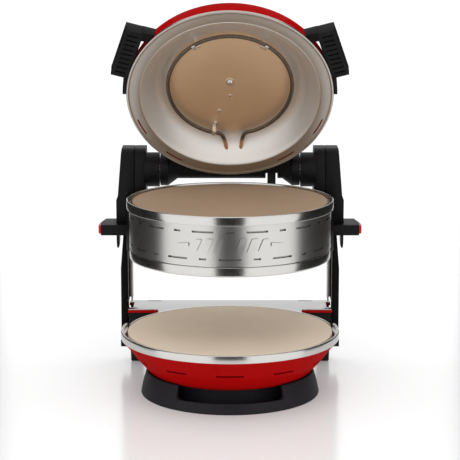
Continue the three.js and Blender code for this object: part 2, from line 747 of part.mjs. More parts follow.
// The handle's plan: a bar in front of the tower that turns back outside it, its outer side a slow curve.
function handleOutline(x1, inset) {
  const s = new THREE.Shape();
  const y0 = HANDLE_FRONT_Y + inset;
  const y1 = handleBackY - inset;
  const towerY = TOWER_FRONT_Y - CLEARANCE;
  s.moveTo(HANDLE_ROOT_X, y0);
  s.lineTo(x1 - 1, y0);
  s.quadraticCurveTo(x1 + 1, (2 * y0 + y1) / 3, x1 - 0.5, (y0 + y1) / 2);
  s.quadraticCurveTo(x1 - 2, (y0 + 3 * y1) / 4, x1 - 6, y1);
  s.lineTo(HANDLE_IN_X, y1);
  s.lineTo(HANDLE_IN_X, towerY);
  s.lineTo(HANDLE_ROOT_X, towerY);
  return s;
}

function sideHandle() {
  const body = plan(handleOutline(HANDLE_OUT_X, 0), HANDLE_Z, HANDLE_Z + HANDLE_H);
  const pocket = box(
    HANDLE_OUT_X - BUTTON_POCKET, HANDLE_OUT_X + 5, HANDLE_FRONT_Y + 2, handleBackY - 3,
    HANDLE_Z + 1.5, HANDLE_Z + HANDLE_H - 1.5,
  );
  return body.subtract(pocket);
}

const buttonInnerX = HANDLE_OUT_X + BUTTON_PROUD - BUTTON_LENGTH;

function releaseButton() {
  const body = plan(handleOutline(HANDLE_OUT_X + BUTTON_PROUD, 4), HANDLE_Z + 2, HANDLE_Z + HANDLE_H - 2);
  return body.intersect(box(buttonInnerX, HANDLE_OUT_X + 20, 0, 200, 0, 100));
}

function buttonSpring() {
  const turns = 4;
  const x0 = HANDLE_OUT_X - BUTTON_POCKET + 0.8;
  const x1 = buttonInnerX - 0.8;
  const y = (HANDLE_FRONT_Y + handleBackY) / 2;
  const z = HANDLE_Z + HANDLE_H / 2;
  const points = [];
  for (let i = 0; i <= turns * 6; i++) {
    const a = (i / 6) * 2 * Math.PI;
    const x = x0 + ((x1 - x0) * i) / (turns * 6);
    points.push(new THREE.Vector3(x, y + 4 * Math.cos(a), z + 4 * Math.sin(a)));
  }
  return tube(new THREE.CatmullRomCurve3(points), 0.35, turns * 6, 2);
}

function hingePin() {
  const shank = rod(HINGE_PIN_R, KNUCKLE_INNER_X + 6, TOWER_INNER_X + 12, HINGE_Y, HINGE_Z);
  const head = rod(HINGE_PIN_R + 4, TOWER_INNER_X + 8, TOWER_INNER_X + 14, HINGE_Y, HINGE_Z);
  return shank.add(head);
}

// A flat heat-proof lead from a gland on the drum's back up into the hinge beam, at the hinge axis.
function lidLead() {
  const path = new THREE.SplineCurve(vectors([
    [DRUM_R - 11, LEAD_Z],
    [DRUM_R - 6, LEAD_Z],
    [DRUM_R - 1, LEAD_Z],
    [HINGE_Y - 2, LEAD_Z + 10],
    [HINGE_Y, LEAD_Z + 24],
    [HINGE_Y, HINGE_Z - 16],
    [HINGE_Y, HINGE_Z - 2],
  ]));
  const steps = 18;
  const over = [];
  const under = [];
  for (let i = 0; i <= steps; i++) {
    const { x: y, y: z } = path.getPoint(i / steps);
    const along = path.getTangent(i / steps);
    over.push([y - (along.y * LEAD_THICK) / 2, z + (along.x * LEAD_THICK) / 2]);
    under.unshift([y + (along.y * LEAD_THICK) / 2, z - (along.x * LEAD_THICK) / 2]);
  }
  return side(polygon([...over, ...under]), LEAD_X - LEAD_W / 2, LEAD_X + LEAD_W / 2);
}

function leadGland() {
  const back = Math.sqrt(DRUM_R ** 2 - (LEAD_X - 11) ** 2) + 6;
  const block = box(LEAD_X - 11, LEAD_X + 11, 120, back, LEAD_Z - 10, LEAD_Z + 10);
  const halfW = LEAD_W / 2 + LEAD_ROOM;
  const halfH = LEAD_THICK / 2 + LEAD_ROOM;
  const hole = box(LEAD_X - halfW, LEAD_X + halfW, 100, back + 5, LEAD_Z - halfH, LEAD_Z + halfH);
  return cutAll(block, [hole, post(DRUM_R + CLEARANCE, 0, 0, 0, DRUM_H, ROUND)]);
}

// ---------------------------------------------------------------- lid, z 0 at its rim plane, axis on Z
const lidOutside = [
  [0, LID_H],
  [80, LID_H - 6],
  [138, LID_H - 28],
  [158, LID_H - 49],
  [164, LID_H - 61],
  [LID_R, LID_H - 73],
  [LID_R, 4],
];

function lidSkin() {
  const inside = lidOutside.map(([r, z], i) => {
    const [ra, za] = lidOutside[Math.max(i - 1, 0)];
    const [rb, zb] = lidOutside[Math.min(i + 1, lidOutside.length - 1)];
    const along = Math.hypot(rb - ra, zb - za);
    return [Math.max(0, r + (SHEET * (zb - za)) / along), z - (SHEET * (rb - ra)) / along];
  });
  inside[0] = [0, LID_H - SHEET];
  inside[inside.length - 1] = [LID_R - SHEET, 4];
  const shell = turned([...lidOutside, ...inside.reverse()]);
  return cutAll(shell, slotBars(BOWL_SLOTS, 0, 360 / BOWL_SLOTS, 40, 3, 33, 145, 190));
}

function lidRim() {
  const r = LID_R;
  const section = [
    [LID_FLANGE_INNER_R, 1.6],
    [r - 2.5, 1.6],
    [r - 1.5, 0],
    [r, 0],
    [r, 3.6],
    [r - 2.5, 3.6],
    [r - 4, 3],
    [LID_FLANGE_INNER_R, 3],
  ];
  const vents = [36, 66, -36, -66].map((deg) => box(-13, 13, r - 8, r - 5, -3, 8).rotate([0, 0, deg]));
  return cutAll(turned(section), vents);
}

function lidReflector() {
  const made = dish(LID_FLANGE_INNER_R - 1.5, 2, CROWN_RISE);
  const screw = post(2.4, 0, 0, CROWN_RISE - 3, CROWN_RISE + 4, 12);
  const ends = heater(HEATER_R, LID_HEATER_Z, LID_HEATER_END, LID_HEATER_REACH, HEATER_TUBE_R + HEATER_ROOM);
  return cutAll(made, [ends, screw]);
}

function crownScrew() {
  return turned([
    [0, CROWN_RISE - 4],
    [4, CROWN_RISE - 3.4],
    [5.4, CROWN_RISE - 1],
    [5.4, CROWN_RISE - CLEARANCE],
    [2, CROWN_RISE - CLEARANCE],
    [2, CROWN_RISE + 3],
    [0, CROWN_RISE + 3],
  ], SMALL_ROUND);
}

// A strap that hangs from the crown and holds the heater, with its fixing screw's foot.
function heaterClip(deg) {
  const r = HEATER_R - HEATER_TUBE_R - 2.4;
  const strap = box(r - 1, r + 0.4, -3, 3, LID_HEATER_Z - 4, CROWN_RISE - CLEARANCE);
  const foot = box(r - 10, r, -3, 3, CROWN_RISE - 1.4, CROWN_RISE - CLEARANCE);
  const hook = box(r - 1, r + 8, -3, 3, LID_HEATER_Z - 5, LID_HEATER_Z - 4);
  const head = post(2.6, r - 7, 0, CROWN_RISE - 3.4, CROWN_RISE - 1, 10);
  return strap.add(foot).add(hook).add(head).rotate([0, 0, deg]);
}

function arcBand(r0, r1, from, to) {
  const s = new THREE.Shape();
  const a = THREE.MathUtils.degToRad(from);
  const b = THREE.MathUtils.degToRad(to);
  s.absarc(0, 0, r1, a, b);
  s.absarc(0, 0, r0, b, a, true);
  return s;
}

// The right-hand grip: a straight bar on a front leg and a plate that follows the skin, grooved below.
function lidHandle() {
  const bar = box(GRIP_IN, GRIP_OUT, -GRIP_FRONT, -GRIP_BACK, GRIP_Z0, GRIP_Z1);
  const leg = box(
    GRIP_IN - 26, GRIP_IN + 2, -GRIP_FRONT - 2, GRIP_LEG - GRIP_FRONT, GRIP_Z0 + 2, GRIP_Z1 - 2,
  );
  const plate = plan(arcBand(LID_R - 6, LID_R + 6, -4, 17), GRIP_Z0 + 2, GRIP_Z1 - 2);
  const skin = turned([
    [0, 0],
    [LID_R + CLEARANCE, 0],
    [LID_R + CLEARANCE, LID_H - 73],
    [164.6, LID_H - 60.8],
    [158.6, LID_H - 48.8],
    [0, LID_H],
  ]);
  const grooves = [];
  for (let i = 0; i < GRIP_GROOVES; i++) {
    const y = -GRIP_FRONT + ((i + 1) * (GRIP_FRONT - GRIP_BACK)) / (GRIP_GROOVES + 1);
    grooves.push(box(GRIP_IN + 6, GRIP_OUT - 5, y - 1.3, y + 1.3, GRIP_Z0 - 1, GRIP_Z0 + 3));
  }
  return cutAll(bar.add(leg).add(plate), grooves).rotate([0, 0, GRIP_TURN_DEG]).subtract(skin);
}

// The beam in the hinge's own frame, with the lid closed: the axis is X through 0, 0.
function hingeBeam() {
  const reach = 62;
  const coneX = KNUCKLE_OUTER_X - 13;
  const bar = rod(BEAM_R, -100, 100, 0, 0, 32);
  const saddle = box(-100, 100, -reach, 6, -13, 13);
  const disc = rod(KNUCKLE_R, coneX, KNUCKLE_OUTER_X, 0, 0, 32);
  const knuckle = disc.add(rod(BEAM_R, KNUCKLE_INNER_X, coneX + 0.2, 0, 0, 32, KNUCKLE_R));
  const bore = rod(HINGE_PIN_R + PIN_ROOM, KNUCKLE_INNER_X + 4, KNUCKLE_OUTER_X + 5, 0, 0);
  const half = LEAD_W / 2 + 3;
  const leadRoom = box(LEAD_X - half, LEAD_X + half, -6, BEAM_R + 5, -BEAM_R - 5, 6);
  const lidRoom = post(LID_R + 1.2, 0, -HINGE_Y, -RIM_DROP - 1, 40, ROUND);
  return cutAll(bar.add(saddle).add(knuckle).add(knuckle.mirror([1, 0, 0])), [
    lidRoom,
    bore,
    bore.mirror([1, 0, 0]),
    leadRoom,
  ]);
}

// ---------------------------------------------------------------- assembly
const oven = new THREE.Group();

const base = new THREE.Group();
base.add(
  piece("pedestal", pedestal(), blackPlastic),
  piece("base_cover", baseCover(), zincSheet),
  piece("lower_shell", lowerShell(), redPaint),
  piece("lower_reflector", lowerReflector(), brightDish),
  piece("lower_stone_seat", lowerStoneSeat(), zincSheet),
  piece("lower_heater", heater(HEATER_R + 8, 72, 66, 14), heaterSheath),
  piece("lower_thermostat", thermostat(36.5), ceramic),
  piece("lower_stone", lowerStone(), stone),
  piece("lower_ring", lowerRing(), chrome),
  piece("rear_tray", rearTray(), steel),
  piece("rear_tray_skirt", traySkirt(), redPaint),
  piece("rear_housing", rearHousing(), blackPlastic),
  piece("rear_housing_cover", housingCover(), blackPlastic),
  piece("cord_gland", cordGland(), rubber),
  ...pair("rear_foot", rearFoot(), rubber),
  ...pair("column", column(), blackSteel),
);
oven.add(base);

const rails = new THREE.Group();
rails.add(...pair("middle_rail", middleRail(), steel));
rails.position.z = LIFT / 2;
oven.add(rails);

const drum = new THREE.Group();
const halves = towerHalves();
drum.add(
  piece("drum_foot_rim", drumFoot(), chrome),
  piece("drum_shell", drumShell(), chrome),
  piece("drum_top_rim", drumRim(), chrome),
  piece("upper_stone", upperStone(), stone),
  piece("upper_stone_seat", upperStoneSeat(), zincSheet),
  piece("divider_plate", dividerPlate(), zincSheet),
  piece("upper_heater", heater(HEATER_R + 8, 66, 60, 14), heaterSheath),
  piece("ceiling_reflector", ceilingReflector(), brightDish),
  piece("ceiling_heater", heater(HEATER_R, CEILING_HEATER_Z, CEILING_HEATER_END), heaterSheath),
  ...pair("tower_cover", halves.cover, blackPlastic),
  ...pair("tower_frame", halves.frame, blackPlastic),
  ...pair("slider", slider(), steel),
  ...pair("side_bracket", sideBracket(), blackPlastic),
  ...pair("side_handle", sideHandle(), blackPlastic),
  ...pair("release_button", releaseButton(), redPlastic),
  ...pair("button_spring", buttonSpring(), steel),
  ...pair("hinge_pin", hingePin(), steel),
  piece("lid_lead", lidLead(), rubber),
  piece("lead_gland", leadGland(), blackPlastic),
);
drum.position.z = DRUM_SEAT_Z + LIFT;
oven.add(drum);

const hinge = new THREE.Group();
hinge.position.set(0, HINGE_Y, HINGE_Z);
hinge.rotation.x = -THREE.MathUtils.degToRad(LID_OPEN_DEG);
hinge.add(piece("hinge_beam", hingeBeam(), blackPlastic));
drum.add(hinge);

const lid = new THREE.Group();
lid.position.set(0, -HINGE_Y, -RIM_DROP);
lid.add(
  piece("lid_skin", lidSkin(), redPaint),
  piece("lid_rim", lidRim(), chrome),
  piece("lid_reflector", lidReflector(), brightDish),
  piece("lid_heater", heater(HEATER_R, LID_HEATER_Z, LID_HEATER_END, LID_HEATER_REACH), heaterSheath),
  piece("heater_clip_front_left", heaterClip(-125), steel),
  piece("heater_clip_front_right", heaterClip(-55), steel),
  piece("heater_clip_back", heaterClip(106), steel),
  piece("crown_screw", crownScrew(), chrome),
  piece("lid_thermostat", thermostat(CROWN_RISE + 5), ceramic),
  ...pair("lid_handle", lidHandle(), blackPlastic),
);
hinge.add(lid);

// The origin is under the middle of the whole object, on the table.
oven.updateMatrixWorld(true);
const extent = new THREE.Box3().setFromObject(oven);
oven.position.set(0, -(extent.min.y + extent.max.y) / 2, 0);
oven.updateMatrixWorld(true);

export default oven;
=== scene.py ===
"""A two-deck countertop pizza oven, with its drum raised and its lid open, on a pale studio floor."""
import json
import math

import bmesh
import bpy
from mathutils import Matrix, Vector


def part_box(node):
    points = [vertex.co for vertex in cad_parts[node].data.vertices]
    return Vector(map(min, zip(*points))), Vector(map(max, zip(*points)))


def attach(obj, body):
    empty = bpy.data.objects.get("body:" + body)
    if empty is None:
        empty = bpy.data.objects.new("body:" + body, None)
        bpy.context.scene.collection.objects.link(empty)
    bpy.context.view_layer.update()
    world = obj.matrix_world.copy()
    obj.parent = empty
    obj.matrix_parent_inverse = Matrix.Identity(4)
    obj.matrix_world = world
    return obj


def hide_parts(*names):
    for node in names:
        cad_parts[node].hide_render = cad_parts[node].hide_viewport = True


bl_info = {
    "name": "Countertop Pizza Oven",
    "version": (1, 0, 0),
    "blender": (4, 5, 0),
    "location": "3D View > Sidebar > Oven",
    "description": "Builds the visual pieces of a two-deck countertop pizza oven on its packed frame",
    "category": "Object",
}

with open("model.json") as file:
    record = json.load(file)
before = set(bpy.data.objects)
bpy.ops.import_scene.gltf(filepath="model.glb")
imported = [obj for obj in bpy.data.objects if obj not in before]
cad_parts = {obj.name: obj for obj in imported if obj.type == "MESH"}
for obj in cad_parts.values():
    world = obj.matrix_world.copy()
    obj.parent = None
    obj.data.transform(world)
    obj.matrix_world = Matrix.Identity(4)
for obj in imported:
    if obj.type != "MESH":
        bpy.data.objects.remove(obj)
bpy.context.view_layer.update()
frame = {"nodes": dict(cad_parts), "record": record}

MM = 0.001
TURN = 2 * math.pi
VENTS = 11  # in the bowl, and in the dome
SIDES = ("right", "left")


def joint_named(name):
    """The record's joint of that name."""
    return next(j for j in frame["record"]["behaviour"]["joints"] if j["name"] == name)


# ------------------------------------------------------------------ places read from the frame
STONE_LOW, STONE_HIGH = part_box("lower_stone")
AXIS_Y = (STONE_LOW.y + STONE_HIGH.y) / 2
HINGE = Vector(joint_named("lid_hinge")["pos_m"])
LID_OPEN = math.radians(joint_named("lid_hinge")["range_deg"][1])
DRUM_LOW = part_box("drum_foot_rim")[0].z
DRUM_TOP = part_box("drum_top_rim")[1].z
RIM_GAP = 1 * MM  # between the closed lid's rim and the drum's
RIM_DROP = HINGE.z - DRUM_TOP - RIM_GAP  # of the lid's rim plane under the hinge
DECK = Matrix.Translation((0, AXIS_Y, 0))
DRUM = Matrix.Translation((0, AXIS_Y, DRUM_LOW))
LID = (
    Matrix.Translation(HINGE)
    @ Matrix.Rotation(-LID_OPEN, 4, "X")
    @ Matrix.Translation((0, AXIS_Y - HINGE.y, -RIM_DROP))
)


# ------------------------------------------------------------------ sizes and colours a user would change
class OvenSizes(bpy.types.PropertyGroup):
    """Sizes of the oven's fine details."""

    spin_steps: bpy.props.IntProperty(
        name="Round steps", description="Faces round each turned piece", default=180, min=60, max=360
    )
    sheet: bpy.props.FloatProperty(
        name="Sheet", description="Thickness of the pressed sheet", default=1.2 * MM, unit="LENGTH"
    )
    motif_height: bpy.props.FloatProperty(
        name="Motif height",
        description="Height of the raised motif on the drum",
        default=26 * MM,
        unit="LENGTH",
    )


def colour_property(label, words, value):
    """A colour that a user can change."""
    return bpy.props.FloatVectorProperty(
        name=label, description=words, default=value, subtype="COLOR", min=0, max=1
    )


class OvenColours(bpy.types.PropertyGroup):
    """Colours of the oven's finishes."""

    enamel: colour_property("Enamel", "Red paint of the lid and the bowl", (0.36, 0.003, 0.003))
    button: colour_property("Button", "Red plastic of the release buttons", (0.5, 0.012, 0.01))
    moulding: colour_property("Moulding", "Black plastic of the towers and grips", (0.0035, 0.0035, 0.0038))
    pedestal: colour_property("Pedestal", "Charcoal plastic of the pedestal", (0.013, 0.012, 0.0145))
    stone: colour_property("Stone", "Fired clay of the lower baking stone", (0.72, 0.6, 0.47))
    # painted shade: the upper stone is the same clay as the lower one, and this darker copy of its colour
    # paints the shade it sits in under the lid and drum
    painted_shade_stone: colour_property("Stone in painted shade", "Fired clay of the upper stone, darkened as painted shade", (0.36, 0.25, 0.165))
    steel: colour_property("Steel", "Polished stainless steel", (0.68, 0.665, 0.645))
    dish: colour_property("Dish", "Bright pressed sheet of the reflectors", (0.88, 0.85, 0.81))
    sheath: colour_property("Sheath", "Heat-darkened tube of the heaters", (0.12, 0.085, 0.06))


def sizes():
    """The size properties of this scene."""
    return bpy.context.scene.oven_sizes


def colours():
    """The colour properties of this scene."""
    return bpy.context.scene.oven_colours


# ------------------------------------------------------------------ shader maths
class Value:
    """A socket of a material's tree, with arithmetic that adds Math nodes."""

    def __init__(self, look, socket):
        self.look = look
        self.socket = socket

    def _math(self, operation, first, second=None):
        inputs = {0: first} if second is None else {0: first, 1: second}
        return self.look.node("ShaderNodeMath", {"operation": operation}, inputs)

    def __add__(self, other):
        return self._math("ADD", self, other)

    __radd__ = __add__

    def __sub__(self, other):
        return self._math("SUBTRACT", self, other)

    def __rsub__(self, other):
        return self._math("SUBTRACT", other, self)

    def __mul__(self, other):
        return self._math("MULTIPLY", self, other)

    __rmul__ = __mul__

    def __truediv__(self, other):
        return self._math("DIVIDE", self, other)

    def root(self):
        """The square root."""
        return self._math("SQRT", self)

    def between(self, low, high):
        """0 at low, 1 at high, smooth and limited."""
        settings = {"interpolation_type": "SMOOTHSTEP"}
        inputs = {"Value": self, "From Min": low, "From Max": high}
        return self.look.node("ShaderNodeMapRange", settings, inputs)


class Look:
    """One material and the nodes that make it."""

    def __init__(self, name, base, roughness, metallic=0.0, **constants):
        self.material = bpy.data.materials.new(name)
        self.material.use_nodes = True
        self.tree = self.material.node_tree
        self.shader = self.tree.nodes["Principled BSDF"]
        self.base = tuple(base)
        self.set("Base Color", (*self.base, 1))
        self.set("Roughness", roughness)
        self.set("Metallic", metallic)
        for label, value in constants.items():
            self.set(label.replace("_", " "), value)
        self.material.diffuse_color = (*self.base, 1)
        self.material.roughness = roughness
        self.material.metallic = metallic

    def node(self, kind, settings=None, inputs=None, output=0):
        """Adds a node of that type with its settings, then the values or links of its sockets."""
        made = self.tree.nodes.new(kind)
        for label, value in (settings or {}).items():
            if label == "stops":
                self._stops(made.color_ramp, value)
            else:
                setattr(made, label, value)
        for key, value in (inputs or {}).items():
            self._feed(made.inputs[key], value)
        return Value(self, made.outputs[output])

    def _stops(self, ramp, stops):
        while len(ramp.elements) < len(stops):
            ramp.elements.new(0.5)
        for element, (place, colour) in zip(ramp.elements, stops):
            element.position = place
            element.color = (*colour, 1)

    def _feed(self, socket, value):
        if isinstance(value, Value):
            self.tree.links.new(value.socket, socket)
        else:
            socket.default_value = value

    def set(self, label, value):
        """Sets or links a socket of the shader."""
        self._feed(self.shader.inputs[label], value)

    def place(self, matrix=None, scale=(1, 1, 1)):
        """Object coordinates, seen from a turned frame where one is given, then stretched."""
        point = self.node("ShaderNodeTexCoord", output=3)
        if matrix is not None:
            back = matrix.inverted()
            turned = {"Vector": point, "Location": back.to_translation(), "Rotation": back.to_euler()}
            point = self.node("ShaderNodeMapping", {"vector_type": "POINT"}, turned)
        return self.node("ShaderNodeVectorMath", {"operation": "MULTIPLY"}, {0: point, 1: scale})

    def noise(self, point, scale, detail=2.0, roughness=0.5):
        """Soft noise from 0 to 1."""
        inputs = {"Vector": point, "Scale": scale, "Detail": detail, "Roughness": roughness}
        return self.node("ShaderNodeTexNoise", {}, inputs)

    def axis(self, point, index):
        """One coordinate of a point."""
        return self.node("ShaderNodeSeparateXYZ", {}, {0: point}, output=index)

    def radius(self, point):
        """The distance of a point from the Z axis."""
        x = self.axis(point, 0)
        y = self.axis(point, 1)
        return (x * x + y * y).root()

    def mix(self, factor, first, second):
        """A colour between two."""
        inputs = {0: factor, 6: first, 7: second}
        return self.node("ShaderNodeMix", {"data_type": "RGBA"}, inputs, output=2)

    def tint(self, factor, darker, lighter):
        """The base colour, from darker to lighter shares of itself."""
        shade = [(*[min(1, c * share) for c in self.base], 1) for share in (darker, lighter)]
        self.set("Base Color", self.mix(factor, *shade))

    def bump(self, height, distance, strength=1.0):
        """Feeds the normal from a height."""
        inputs = {"Height": height, "Distance": distance, "Strength": strength}
        self.set("Normal", self.node("ShaderNodeBump", {}, inputs))


def enamel_look(name, matrix):
    """Glossy red paint with a faint orange peel."""
    look = Look(name, colours().enamel, 0.34, Specular_IOR_Level=0.0, Coat_Weight=0.05, Coat_Roughness=0.08)
    point = look.place(matrix)
    look.tint(look.noise(point, 9), 0.88, 1.12)
    look.set("Roughness", look.noise(point, 60) * 0.12 + 0.24)
    look.bump(look.noise(point, 420, 1), 0.00006, 0.35)
    return look.material


def plastic_look(name, base, roughness, grain=1500, shine=0.18):
    """Moulded plastic with a fine spark-eroded grain."""
    look = Look(name, base, roughness, Specular_IOR_Level=shine)
    point = look.place()
    look.tint(look.noise(point, 30, 3), 0.8, 1.25)
    fine = look.noise(point, grain, 3, 0.6)
    look.set("Roughness", fine * 0.2 + (roughness - 0.1))
    look.bump(fine, 0.00012, 0.5)
    return look.material


def stone_look(name, base):
    """Fired clay: warm, matt, with fine specks and pits."""
    look = Look(name, base, 0.88, Specular_IOR_Level=0.2)
    point = look.place()
    specks = look.noise(point, 1100, 4, 0.7)
    clouds = look.noise(point, 14, 4)
    look.tint(specks * 0.55 + clouds * 0.45, 0.86, 1.13)
    look.set("Roughness", specks * 0.14 + 0.78)
    pits = look.noise(point, 700, 2).between(0.3, 0.5)
    look.bump(pits * 0.6 + specks * 0.4, 0.0002, 0.5)
    return look.material


def spun_metal_look(name, base, roughness, matrix, spread=0.06, heated=0.0):
    """Sheet metal with fine rings left by spinning, browned by heat inside the heated radius."""
    look = Look(name, base, roughness, 1.0)
    point = look.place(matrix)
    reach = look.radius(point)
    height = look.axis(point, 2)
    along = look.node("ShaderNodeCombineXYZ", {}, {0: reach, 1: height, 2: 0.0})
    rings = look.noise(along, 900, 3, 0.6)
    patches = look.noise(point, 16, 3)
    look.set("Roughness", rings * spread + patches * spread + (roughness - spread))
    look.tint(patches * 0.6 + rings * 0.4, 0.93, 1.06)
    if heated:
        brown = look.mix(patches, (0.86, 0.65, 0.44, 1), (0.95, 0.74, 0.53, 1))
        look.set("Base Color", look.mix(reach.between(heated, heated + 0.008), brown, (*base, 1)))
    look.bump(rings, 0.00002, 0.35)
    return look.material


def brushed_look(name, base, roughness, stretch=(1, 1, 1)):
    """Satin steel with a straight grain."""
    look = Look(name, base, roughness, 1.0)
    point = look.place(scale=stretch)
    grain = look.noise(point, 500, 4, 0.65)
    look.set("Roughness", grain * 0.16 + (roughness - 0.08))
    look.tint(grain, 0.9, 1.08)
    look.bump(grain, 0.00003, 0.4)
    return look.material


def sheath_look(name, matrix, hot_radius):
    """A heater's tube: dark over most of its length, coppery where its legs leave the ring."""
    look = Look(name, colours().sheath, 0.42, 0.85)
    point = look.place(matrix)
    legs = look.radius(point).between(hot_radius, hot_radius + 0.012)
    mottle = look.noise(point, 160, 4)
    dark = look.mix(mottle, (0.07, 0.055, 0.045, 1), (0.2, 0.15, 0.11, 1))
    copper = look.mix(mottle, (0.55, 0.3, 0.16, 1), (0.72, 0.44, 0.26, 1))
    look.set("Base Color", look.mix(legs, dark, copper))
    look.set("Roughness", mottle * 0.2 + 0.32)
    look.bump(mottle, 0.00006, 0.4)
    return look.material


def floor_look(name):
    """Pale studio floor with a soft sheen."""
    look = Look(name, (0.9, 0.9, 0.9), 0.16, Specular_IOR_Level=1.0, IOR=1.75)
    look.set("Emission Color", (1, 1, 1, 1))
    look.set("Emission Strength", 0.1)
    look.set("Roughness", look.noise(look.place(), 2) * 0.01 + 0.17)
    return look.material


LOOKS = {}


def look_of(key):
    """A finish by name, made once."""
    if key not in LOOKS:
        LOOKS[key] = LOOK_MAKERS[key]()
    return LOOKS[key]


LOOK_MAKERS = {
    "lid_enamel": lambda: enamel_look("lid_enamel", LID),
    "bowl_enamel": lambda: enamel_look("bowl_enamel", DECK),
    "moulding": lambda: plastic_look("moulding", colours().moulding, 0.5),
    "charcoal": lambda: plastic_look("charcoal", colours().pedestal, 0.5, 1200),
    "red_plastic": lambda: plastic_look("red_plastic", colours().button, 0.28, 900),
    "rubber": lambda: plastic_look("rubber", (0.012, 0.012, 0.012), 0.7, 800),
    "ceramic": lambda: plastic_look("ceramic", (0.78, 0.75, 0.68), 0.5, 600),
    "lower_clay": lambda: stone_look("lower_clay", colours().stone),
    # painted shade: the upper stone takes the darker copy of the clay colour, which stands in for the shade
    # above it
    "upper_clay": lambda: stone_look("upper_clay", colours().painted_shade_stone),
    "drum_steel": lambda: spun_metal_look("drum_steel", colours().steel, 0.3, DRUM),
    "rim_steel": lambda: spun_metal_look("rim_steel", colours().steel, 0.2, DECK, 0.03),
    "lid_dish": lambda: spun_metal_look("lid_dish", colours().dish, 0.5, LID, 0.05, 0.098),
    "lid_flange": lambda: spun_metal_look("lid_flange", (0.52, 0.49, 0.45), 0.3, LID, 0.06),
    "drum_dish": lambda: spun_metal_look("drum_dish", colours().dish, 0.14, DECK, 0.05),
    "tray_steel": lambda: brushed_look("tray_steel", (0.58, 0.58, 0.575), 0.34, (0.15, 1, 1)),
    "rail_steel": lambda: brushed_look("rail_steel", (0.2, 0.2, 0.2), 0.3, (1, 1, 0.1)),
    "column_paint": lambda: plastic_look("column_paint", (0.004, 0.004, 0.0042), 0.5, 1000, 0.06),
    "zinc": lambda: brushed_look("zinc", (0.5, 0.5, 0.49), 0.45),
    "screw_steel": lambda: brushed_look("screw_steel", (0.8, 0.79, 0.77), 0.22),
    "lid_sheath": lambda: sheath_look("lid_sheath", LID, 0.107),
    "drum_sheath": lambda: sheath_look("drum_sheath", DECK, 0.107),
    "floor": lambda: floor_look("floor"),
}


# ------------------------------------------------------------------ shaping
def rounded(points, closed=False, bend=5):
    """An outline whose points that have a third number are rounded by that radius."""
    made = []
    for index, point in enumerate(points):
        here = Vector(point[:2])
        at_end = not closed and index in (0, len(points) - 1)
        if len(point) < 3 or at_end:
            made.append(tuple(here))
            continue
        before = Vector(points[index - 1][:2]) - here
        after = Vector(points[(index + 1) % len(points)][:2]) - here
        reach = point[2] / math.tan(before.angle(after) / 2)
        reach = min(reach, before.length * 0.49, after.length * 0.49)
        start = here + before.normalized() * reach
        end = here + after.normalized() * reach
        for step in range(bend + 1):
            t = step / bend
            made.append(tuple(start * (1 - t) ** 2 + here * (2 * t * (1 - t)) + end * t**2))
    return made


def flowing(points, per=6):
    """A smooth line through the points."""
    places = [Vector(p) for p in points]
    ends = [places[0] * 2 - places[1], *places, places[-1] * 2 - places[-2]]
    made = []
    for a, b, c, d in zip(ends, ends[1:], ends[2:], ends[3:]):
        for step in range(per):
            t = step / per
            made.append(
                0.5
                * (
                    2 * b
                    + (c - a) * t
                    + (2 * a - 5 * b + 4 * c - d) * t**2
                    + (3 * b - a - 3 * c + d) * t**3
                )
            )
    made.append(places[-1])
    return [tuple(p) for p in made]


def in_mm(points):
    """Points given in millimetres, as metres."""
    return [tuple(value * MM for value in point) for point in points]


def turned(outline, closed=False, start=0.0, sweep=TURN, steps=None):
    """A bmesh: an outline of (radius, height) in metres spun about Z from the start angle."""
    bm = bmesh.new()
    first = Matrix.Rotation(start, 3, "Z")
    verts = [bm.verts.new(first @ Vector((r, 0, z))) for r, z in outline]
    edges = [bm.edges.new(ends) for ends in zip(verts, verts[1:])]
    if closed:
        edges.append(bm.edges.new((verts[-1], verts[0])))
    full = sweep > TURN - 1e-6
    count = steps or sizes().spin_steps
    spun = bmesh.ops.spin(
        bm, geom=verts + edges, cent=(0, 0, 0), axis=(0, 0, 1), angle=sweep, steps=count, use_merge=full
    )
    if closed and not full:
        bmesh.ops.contextual_create(bm, geom=edges)
        last_edges = [g for g in spun["geom_last"] if isinstance(g, bmesh.types.BMEdge)]
        bmesh.ops.contextual_create(bm, geom=last_edges)
    bmesh.ops.remove_doubles(bm, verts=bm.verts, dist=1e-6)
    bmesh.ops.recalc_face_normals(bm, faces=bm.faces)
    return bm


def face_outwards(bm, down=False):
    """Turns an open spun sheet so that its faces point away from the axis, or downwards."""
    score = 0.0
    for face in bm.faces:
        centre = face.calc_center_median()
        away = Vector((0, 0, -1)) if down else Vector((centre.x, centre.y, 0))
        score += face.normal.dot(away) * face.calc_area()
    if score < 0:
        bmesh.ops.reverse_faces(bm, faces=bm.faces)


def cut_windows(bm, inside, windows):
    """Deletes the faces whose centre passes the test and whose angle about Z lies in a window."""
    doomed = []
    for face in bm.faces:
        centre = face.calc_center_median()
        if not inside(math.hypot(centre.x, centre.y), centre.z):
            continue
        angle = math.atan2(centre.y, centre.x)
        if any(abs((angle - middle + math.pi) % TURN - math.pi) < half for middle, half in windows):
            doomed.append(face)
    bmesh.ops.delete(bm, geom=doomed, context="FACES")


def soften(bm, offset, segments=2, over_deg=30):
    """Rounds the edges that are sharper than that angle."""
    limit = math.radians(over_deg)
    sharp = [e for e in bm.edges if len(e.link_faces) == 2 and e.calc_face_angle(0) > limit]
    bmesh.ops.bevel(
        bm,
        geom=sharp,
        offset=offset,
        offset_type="OFFSET",
        segments=segments,
        profile=0.5,
        affect="EDGES",
        clamp_overlap=True,
        material=-1,
    )


def node_copy(node):
    """A merged bmesh copy of a CAD node, its flat sides joined to single faces."""
    bm = bmesh.new()
    bm.from_mesh(frame["nodes"][node].data)
    bmesh.ops.remove_doubles(bm, verts=bm.verts, dist=5e-6)
    bmesh.ops.dissolve_limit(bm, angle_limit=math.radians(0.6), verts=bm.verts, edges=bm.edges)
    bmesh.ops.dissolve_degenerate(bm, dist=2e-5, edges=bm.edges)
    return bm


